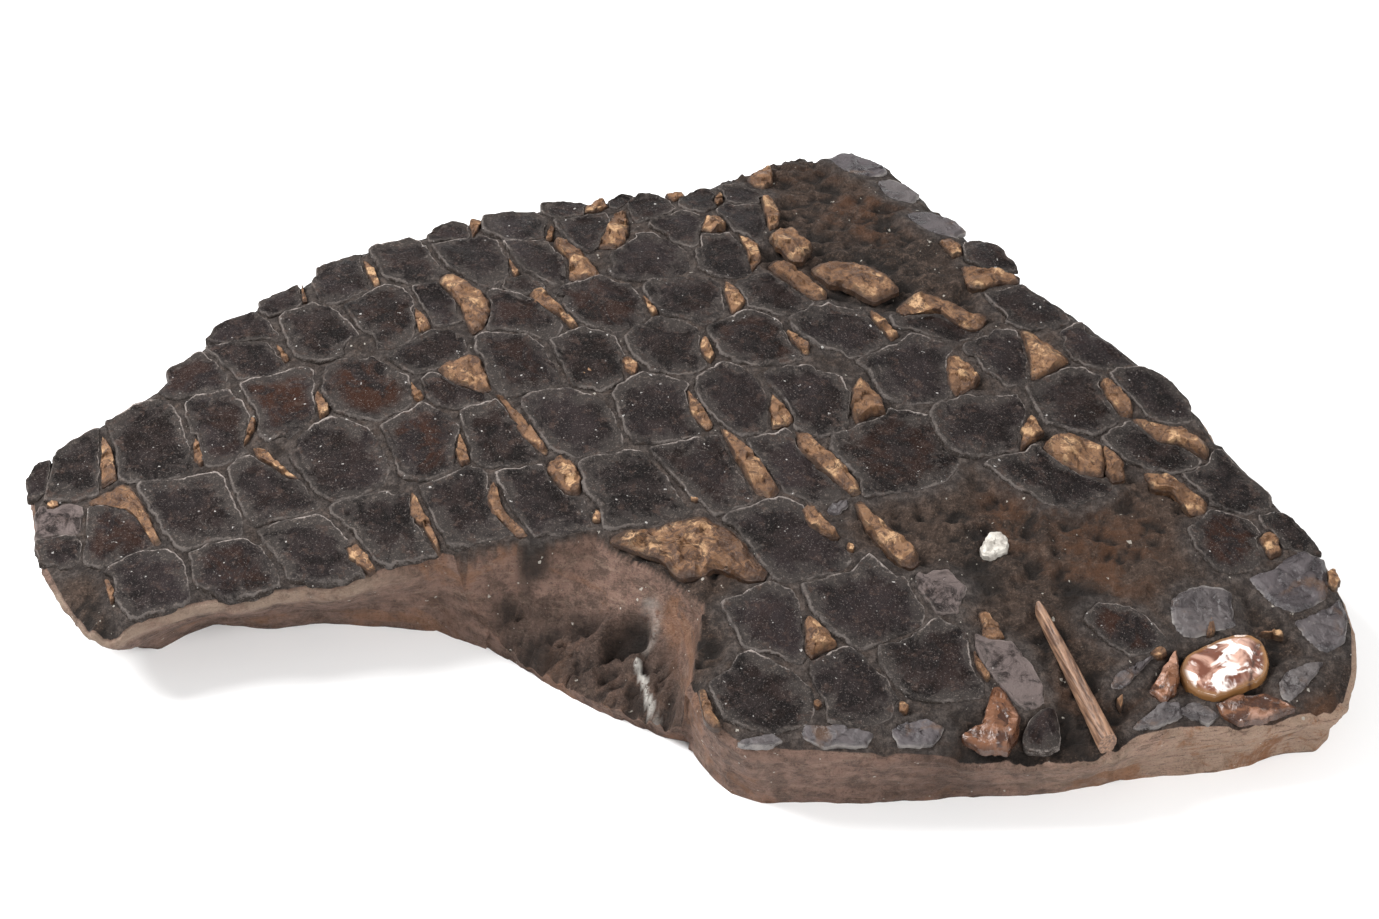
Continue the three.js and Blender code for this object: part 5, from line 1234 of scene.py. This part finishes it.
def scale_points(tone, outline, index, sizes):
    """One scale: a sunk, polished face inside a worn margin, higher towards the tail like a roof tile."""
    middle = np.mean(outline, axis=0)
    proud, crown = sizes.proud / MM, sizes.crown / MM
    span = np.ptp(np.array(outline), axis=0).min()
    crown *= min(1.0, span / 15)
    share = (1.0, 0.99, 0.975, 0.955, 0.93, 0.9, 0.87, 0.835, 0.79, 0.73, 0.65, 0.55, 0.44, 0.33, 0.22, 0.11)
    chance = np.random.RandomState(500 + index)
    turn = chance.rand() * 2 * math.pi
    lean = (0.012 * math.cos(turn), 0.012 * math.sin(turn))

    def height(x, y, level):
        z = dome(x, y) + proud + crown * (1 - level ** 2.0)
        margin = smoothstep(0.8, 0.9, level + 0.05 * value_noise(x, y, 4.0, 79 + index))
        z += 0.5 * margin * (0.6 + 0.9 * value_noise(x, y, 4.0, 69 + index))
        z -= 0.55 * smoothstep(0.965, 1.0, level)
        z -= sizes.tilt * (x - middle[0])
        z += lean[0] * (x - middle[0]) + lean[1] * (y - middle[1])
        inner = smoothstep(1.0, 0.85, level)
        z += inner * (0.2 * value_noise(x, y, 7.5, 71 + index) + 0.07 * layered_noise(x, y, 2.4, 73, 2))
        z += (0.05 + 0.16 * margin) * value_noise(x, y, 1.2, 77)
        return z

    points, faces, level = mound(outline, SCALE_POINTS, share, height, 1.9, 81 + index, 0.5, 0.07)
    count = len(points)
    # painted highlight: the pale ridge is drawn strongest on the sides towards the back and the right
    turned = (points[:, 0] - middle[0]) * 0.45 + (points[:, 1] - middle[1]) * 0.9
    marks = {
        "edge": level,
        "highlight_side": 0.25 + 0.75 * smoothstep(-0.1, 0.35, turned / span),
        "tone": np.full(count, chance.rand()),
        "glow": np.full(count, max(0.0, tone) * 0.9 + 0.2 * chance.rand()) * smoothstep(0.95, 0.5, level),
        "pale": np.full(count, 0.55 if tone < 0 else 0.0),
    }
    return points, faces, marks


def joined(parts):
    """Puts several lumps into one set of points, faces and attributes."""
    points, faces, marks = [], [], {}
    start = 0
    for part_points, part_faces, part_marks in parts:
        points.append(part_points)
        faces += [tuple(start + v for v in face) for face in part_faces]
        for key, values in part_marks.items():
            marks.setdefault(key, []).append(values)
        start += len(part_points)
    return np.vstack(points), faces, {key: np.concatenate(values) for key, values in marks.items()}


class FOSSIL_OT_scales(bpy.types.Operator):
    """Make the armour of scales, each a low pillow of enamel with a worn rim"""

    bl_idname = "fossil.scales"
    bl_label = "Scales"

    def execute(self, context):
        sizes = context.scene.fossil_scales
        parts = [scale_points(tone, outline, i, sizes) for i, (tone, outline) in enumerate(fitted_scales())]
        points, faces, marks = joined(parts)
        piece = add_piece("scale_enamel", points, faces, scale_material(sizes), marks, 50)
        nodes = [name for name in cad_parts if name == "scale_armour" or name.startswith("loose_scale")]
        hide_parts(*nodes)
        return {"FINISHED"}


def facets(x, y, size, chance, span):
    """Flat broken facets: a height and a shade for each point, from the nearest of many tilted planes."""
    count = max(4, int(span[0] * span[1] / (size * size) * 2.2))
    seeds = (chance.rand(count, 2) - 0.5) * (span[0] + 2, span[1] + 2)
    tilts = (chance.rand(count, 2) - 0.5) * 0.9
    lifts = (chance.rand(count) - 0.5) * 1.3
    shades = chance.rand(count)
    u = x + 0.6 * value_noise(x, y, 1.9, 61)
    v = y + 0.6 * value_noise(x, y, 1.9, 63)
    nearest = np.argmin((u[:, None] - seeds[:, 0]) ** 2 + (v[:, None] - seeds[:, 1]) ** 2, axis=1)
    tilt = tilts[nearest]
    height = lifts[nearest] + tilt[:, 0] * (u - seeds[nearest, 0]) + tilt[:, 1] * (v - seeds[nearest, 1])
    return height, shades[nearest]


def chunk(outline, rise, rough, seed, buried=1.6):
    """A broken piece of bone: a lump cut by tilted planes, its face split into facets."""
    chance = np.random.RandomState(seed)
    middle = np.mean(outline, axis=0)
    span = np.ptp(np.array(outline), axis=0)
    size = span.max() / 2
    planes = []
    for k in range(4):
        turn = chance.rand() * 2 * math.pi
        slope = (0.15 + 0.35 * chance.rand()) * min(1.0, 7 / size) * (0.6 + 0.5 * k)
        planes.append((math.cos(turn) * slope, math.sin(turn) * slope, rise * (0.66 + 0.3 * chance.rand())))
    share = (1.0, 0.985, 0.96, 0.93, 0.895, 0.855, 0.81, 0.76, 0.705, 0.645, 0.58, 0.51, 0.435, 0.36, 0.28,
             0.19, 0.1)
    small = max(1.6, min(4.5, size * 0.45))
    shades = []

    def height(x, y, level):
        # a slope of its own for each side, so that the edge is steep in some places and thin in others
        side = value_noise(x, y, 6.0, 87 + seed % 11)
        lump = rise * smoothstep(1.0, 0.72 - 0.16 * side, level) + 0.15
        for across, along, lift in planes:
            lump = np.minimum(lump, lift + (x - middle[0]) * across + (y - middle[1]) * along)
        lump = np.maximum(lump, -0.2 + 0.9 * smoothstep(1.0, 0.85, level))
        broken, shade = facets(x - middle[0], y - middle[1], small, np.random.RandomState(seed + 1), span)
        shades.append(shade)
        inner = smoothstep(1.0, 0.9, level)
        lump = lump + inner * (0.35 + 0.3 * min(rough, 2.0)) * broken * min(1.0, size / 4)
        lump = lump - inner * rough * 0.55 * np.maximum(0, ridged_noise(x, y, 3.2, 95 + seed % 5) - 0.25)
        lump = lump + inner * 0.12 * value_noise(x, y, 0.9, 97)
        return dome(x, y) + np.clip(lump, -0.8, rise * 1.08)

    points, faces, level = mound(outline, BONE_POINTS, share, height, buried, seed, 0.5, 0.1)
    shade = np.concatenate([shades[0], *shades, [0.5]])
    if rough > PITTED:
        # painted light: a pitted bone is paler towards its upper left, the side lit by the softbox, and dark
        # in its pits, painted shade
        upper = (points[:, 1] - middle[1]) * 0.5 - (points[:, 0] - middle[0]) * 0.8
        shade = shade * 0.5 + 0.5 * smoothstep(-0.5, 0.5, upper / size)
    marks = {"edge": level, "rough": np.full(len(points), rough), "tone": shade}
    return points, faces, marks


class FOSSIL_OT_bones(bpy.types.Operator):
    """Make the broken pieces of tan bone between the scales"""

    bl_idname = "fossil.bones"
    bl_label = "Bones"

    def execute(self, context):
        broken = bone_material(context.scene.fossil_bones)
        glossy = glossy_bone_material()
        for i, (name, rise, rough, outline) in enumerate(BONES):
            material = glossy if name in GLOSSY_BONES else broken
            points, faces, marks = chunk(outline, rise, rough, 200 + 13 * i)
            stands_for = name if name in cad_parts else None
            piece = add_piece(name + "_surface" if stands_for else name, points, faces, material, marks, 22)
            if stands_for:
                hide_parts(stands_for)
        return {"FINISHED"}


class FOSSIL_OT_plates(bpy.types.Operator):
    """Make the worn grey plates and chips at the front right and on the shelf at the back"""

    bl_idname = "fossil.plates"
    bl_label = "Grey plates"

    def execute(self, context):
        material = grey_material()
        for i, (name, rise, tone, outline) in enumerate(GREY_PLATES):
            shelf = name.startswith("shelf")
            drop = shelf_drop(outline) if shelf else 0.0
            points, faces, marks = chunk(outline, rise, 0.2, 900 + 17 * i)
            points[:, 2] -= drop
            marks["tone"] = np.full(len(points), tone)
            stands_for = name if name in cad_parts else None
            piece = add_piece(name + "_surface" if stands_for else name, points, faces, material, marks, 22)
            if stands_for:
                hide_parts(stands_for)
        return {"FINISHED"}


def shelf_drop(outline):
    x, y = np.mean(outline, axis=0)
    return float(SHELF_SLOPE * line_distance(SHELF_RIDGE, np.array([x]), np.array([y]))[0][0])


class FOSSIL_OT_polished(bpy.types.Operator):
    """Make the polished scale with its brown rim, and the dark lens-shaped scale"""

    bl_idname = "fossil.polished"
    bl_label = "Polished scales"

    def execute(self, context):
        share = (1.0, 0.98, 0.95, 0.91, 0.86, 0.8, 0.72, 0.63, 0.53, 0.42, 0.31, 0.2, 0.1)

        def pillow(x, y, level):
            lump = 2.3 * (1 - level ** 3) + 0.5 * smoothstep(0.9, 0.96, level) * smoothstep(1.0, 0.97, level)
            lump += smoothstep(1.0, 0.8, level) * 0.35 * value_noise(x, y, 4.5, 131)
            lump -= 0.5 * smoothstep(0.45, 0.15, line_distance(GLOSSY_CRACK, x, y)[0])
            return dome(x, y) + np.minimum(lump, 3.0)

        points, faces, level = mound(GLOSSY_SCALE, 64, share, pillow, 1.6, 133, 0.2)
        crack = smoothstep(0.4, 0.15, line_distance(GLOSSY_CRACK, points[:, 0], points[:, 1])[0])
        marks = {"edge": level, "crack": crack}
        piece = add_piece("glossy_scale_surface", points, faces, glossy_material(), marks, 50)
        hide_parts("glossy_scale")

        def lens(x, y, level):
            lump = 3.4 * (1 - level ** 2) + smoothstep(1.0, 0.8, level) * 0.3 * value_noise(x, y, 3.0, 137)
            return dome(x, y) + np.minimum(lump, 3.8)

        points, faces, level = mound(DARK_LENS, 48, share, lens, 1.6, 139, 0.3)
        count = len(points)
        marks = {
            "edge": level, "tone": np.full(count, 0.7), "glow": np.full(count, 0.2), "pale": np.zeros(count),
            "highlight_side": np.full(count, 0.6),
        }
        material = scale_material(context.scene.fossil_scales)
        piece = add_piece("dark_lens_surface", points, faces, material, marks, 50)
        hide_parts("dark_lens")
        return {"FINISHED"}


class FOSSIL_OT_fin_ray(bpy.types.Operator):
    """Make the broken spine of a fin that lies at the front"""

    bl_idname = "fossil.fin_ray"
    bl_label = "Fin spine"

    def execute(self, context):
        start, end = np.array(FIN_RAY["from"]), np.array(FIN_RAY["to"])
        along = (end - start) / np.hypot(*(end - start))
        across = np.array([-along[1], along[0]])
        count, steps = 28, 44
        turn = np.linspace(0, 2 * math.pi, count, endpoint=False)
        points, marks = [], []
        for k in range(steps):
            t = k / (steps - 1)
            place = start + (end - start) * t
            half = np.interp(t, [0, 1], FIN_RAY["widths"]) / 2
            half *= 0.55 + 0.45 * smoothstep(0, 0.04, t)
            base = float(dome(*place)) - FIN_RAY["sink"]
            rise = (FIN_RAY["rise"] + FIN_RAY["sink"]) * (0.72 + 0.28 * t)
            ridge = 1 + 0.07 * np.sin(turn * 6 + 1.3)
            ridge += 0.03 * value_noise(turn * 3, np.full(count, t * 30), 1.0, 151)
            flat = np.sign(np.cos(turn)) * np.abs(np.cos(turn)) ** 0.75
            up = np.sign(np.sin(turn)) * np.abs(np.sin(turn)) ** 0.75
            spread = place + across * (flat * half * ridge)[:, None]
            z = base + rise / 2 + up * rise / 2 * np.minimum(ridge, 1.0)
            points.append(np.column_stack([spread, z]))
            marks.append(np.full(count, t))
        faces = [face[::-1] for face in ring_faces(count, steps)]
        points = np.vstack(points)
        faces.append(tuple(range(count)))
        faces.append(tuple(reversed(range((steps - 1) * count, steps * count))))
        marks = {"along": np.concatenate(marks)}
        piece = add_piece("fin_ray_surface", points, faces, fin_material(), marks, 40)
        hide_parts("fin_ray")
        return {"FINISHED"}


class FOSSIL_OT_pebble(bpy.types.Operator):
    """Make the white pebble in the bare stone"""

    bl_idname = "fossil.pebble"
    bl_label = "White pebble"

    def execute(self, context):
        points, faces, marks = chunk(WHITE_PEBBLE, 1.2, 0.3, 1201, 2.0)
        points[:, 2] -= 0.9
        piece = add_piece("white_pebble_surface", points, faces, pebble_material(), marks, 60)
        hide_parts("white_pebble")
        return {"FINISHED"}


class FOSSIL_OT_stage(bpy.types.Operator):
    """Set up the camera of the photograph, a white floor and soft studio light"""

    bl_idname = "fossil.stage"
    bl_label = "Stage"

    def execute(self, context):
        sizes = context.scene.fossil_stage
        camera = bpy.data.objects.new("camera", bpy.data.cameras.new("camera"))
        camera.data.lens = sizes.lens
        camera.data.sensor_width = 36
        camera.data.clip_end = 20
        x, y, z = CAMERA_TARGET
        back = CAMERA_DISTANCE * math.cos(CAMERA_ELEVATION)
        up = CAMERA_DISTANCE * math.sin(CAMERA_ELEVATION)
        camera.location = ((x + TO_MIDDLE[0]) * MM, (y + TO_MIDDLE[1] - back) * MM, (z + up) * MM)
        camera.rotation_euler = (math.pi / 2 - CAMERA_ELEVATION, 0, 0)
        context.scene.collection.objects.link(camera)
        context.scene.camera = camera

        floor = add_floor()
        add_light("softbox", (-0.72, 0.2, 0.8), (0, 0, 0), 0.6, sizes.key)
        add_light("front_fill", (0.55, -0.9, 0.9), (0, 0, 0.02), 0.9, sizes.fill)
        world = bpy.data.worlds.new("white_room")
        world.use_nodes = True
        world.node_tree.nodes["Background"].inputs["Color"].default_value = (1, 1, 1, 1)
        world.node_tree.nodes["Background"].inputs["Strength"].default_value = sizes.sky
        context.scene.world = world
        context.scene.view_settings.view_transform = "Standard"
        return {"FINISHED"}


def add_floor():
    mesh = bpy.data.meshes.new("floor")
    half = 6.0
    corners = [(-half, -half, 0), (half, -half, 0), (half, half, 0), (-half, half, 0)]
    mesh.from_pydata(corners, [], [(0, 1, 2, 3)])
    n = Nodes("white_floor")
    n.set(Base_Color=(0.9, 0.9, 0.9), Roughness=0.9, Specular_IOR_Level=0.1)
    mesh.materials.append(n.material)
    floor = bpy.data.objects.new("floor", mesh)
    bpy.context.scene.collection.objects.link(floor)
    return floor


def add_light(name, place, target, size, power):
    data = bpy.data.lights.new(name, "AREA")
    data.shape = "DISK"
    data.size = size
    data.energy = power
    light = bpy.data.objects.new(name, data)
    light.location = place
    aim = np.array(target) - np.array(place)
    flat = math.hypot(aim[0], aim[1])
    light.rotation_euler = (math.atan2(flat, -aim[2]), 0, math.atan2(aim[1], aim[0]) - math.pi / 2)
    bpy.context.scene.collection.objects.link(light)
    return light


class FOSSIL_PT_panel(bpy.types.Panel):
    """Lists the pieces of the slab"""

    bl_idname = "FOSSIL_PT_panel"
    bl_label = "Fossil fish slab"
    bl_space_type = "VIEW_3D"
    bl_region_type = "UI"
    bl_category = "Fossil"

    def draw(self, context):
        for operator in OPERATORS:
            self.layout.operator(operator.bl_idname)
        for group in ("fossil_slab", "fossil_scales", "fossil_bones", "fossil_stage"):
            box = self.layout.box()
            settings = getattr(context.scene, group)
            for key in settings.__annotations__:
                box.prop(settings, key)


OPERATORS = (
    FOSSIL_OT_stage, FOSSIL_OT_stone, FOSSIL_OT_scales, FOSSIL_OT_bones, FOSSIL_OT_plates, FOSSIL_OT_polished,
    FOSSIL_OT_fin_ray, FOSSIL_OT_pebble,
)
GROUPS = (SlabSizes, ScaleSizes, BoneSizes, StageSizes)


def register():
    for cls in (*GROUPS, *OPERATORS, FOSSIL_PT_panel):
        bpy.utils.register_class(cls)
    bpy.types.Scene.fossil_slab = PointerProperty(type=SlabSizes)
    bpy.types.Scene.fossil_scales = PointerProperty(type=ScaleSizes)
    bpy.types.Scene.fossil_bones = PointerProperty(type=BoneSizes)
    bpy.types.Scene.fossil_stage = PointerProperty(type=StageSizes)


def unregister():
    for name in ("fossil_stage", "fossil_bones", "fossil_scales", "fossil_slab"):
        delattr(bpy.types.Scene, name)
    for cls in reversed((*GROUPS, *OPERATORS, FOSSIL_PT_panel)):
        bpy.utils.unregister_class(cls)


def main():
    register()
    for operator in OPERATORS:
        name = operator.bl_idname.split(".")[1]
        getattr(bpy.ops.fossil, name)()


if __name__ == "__main__":
    main()
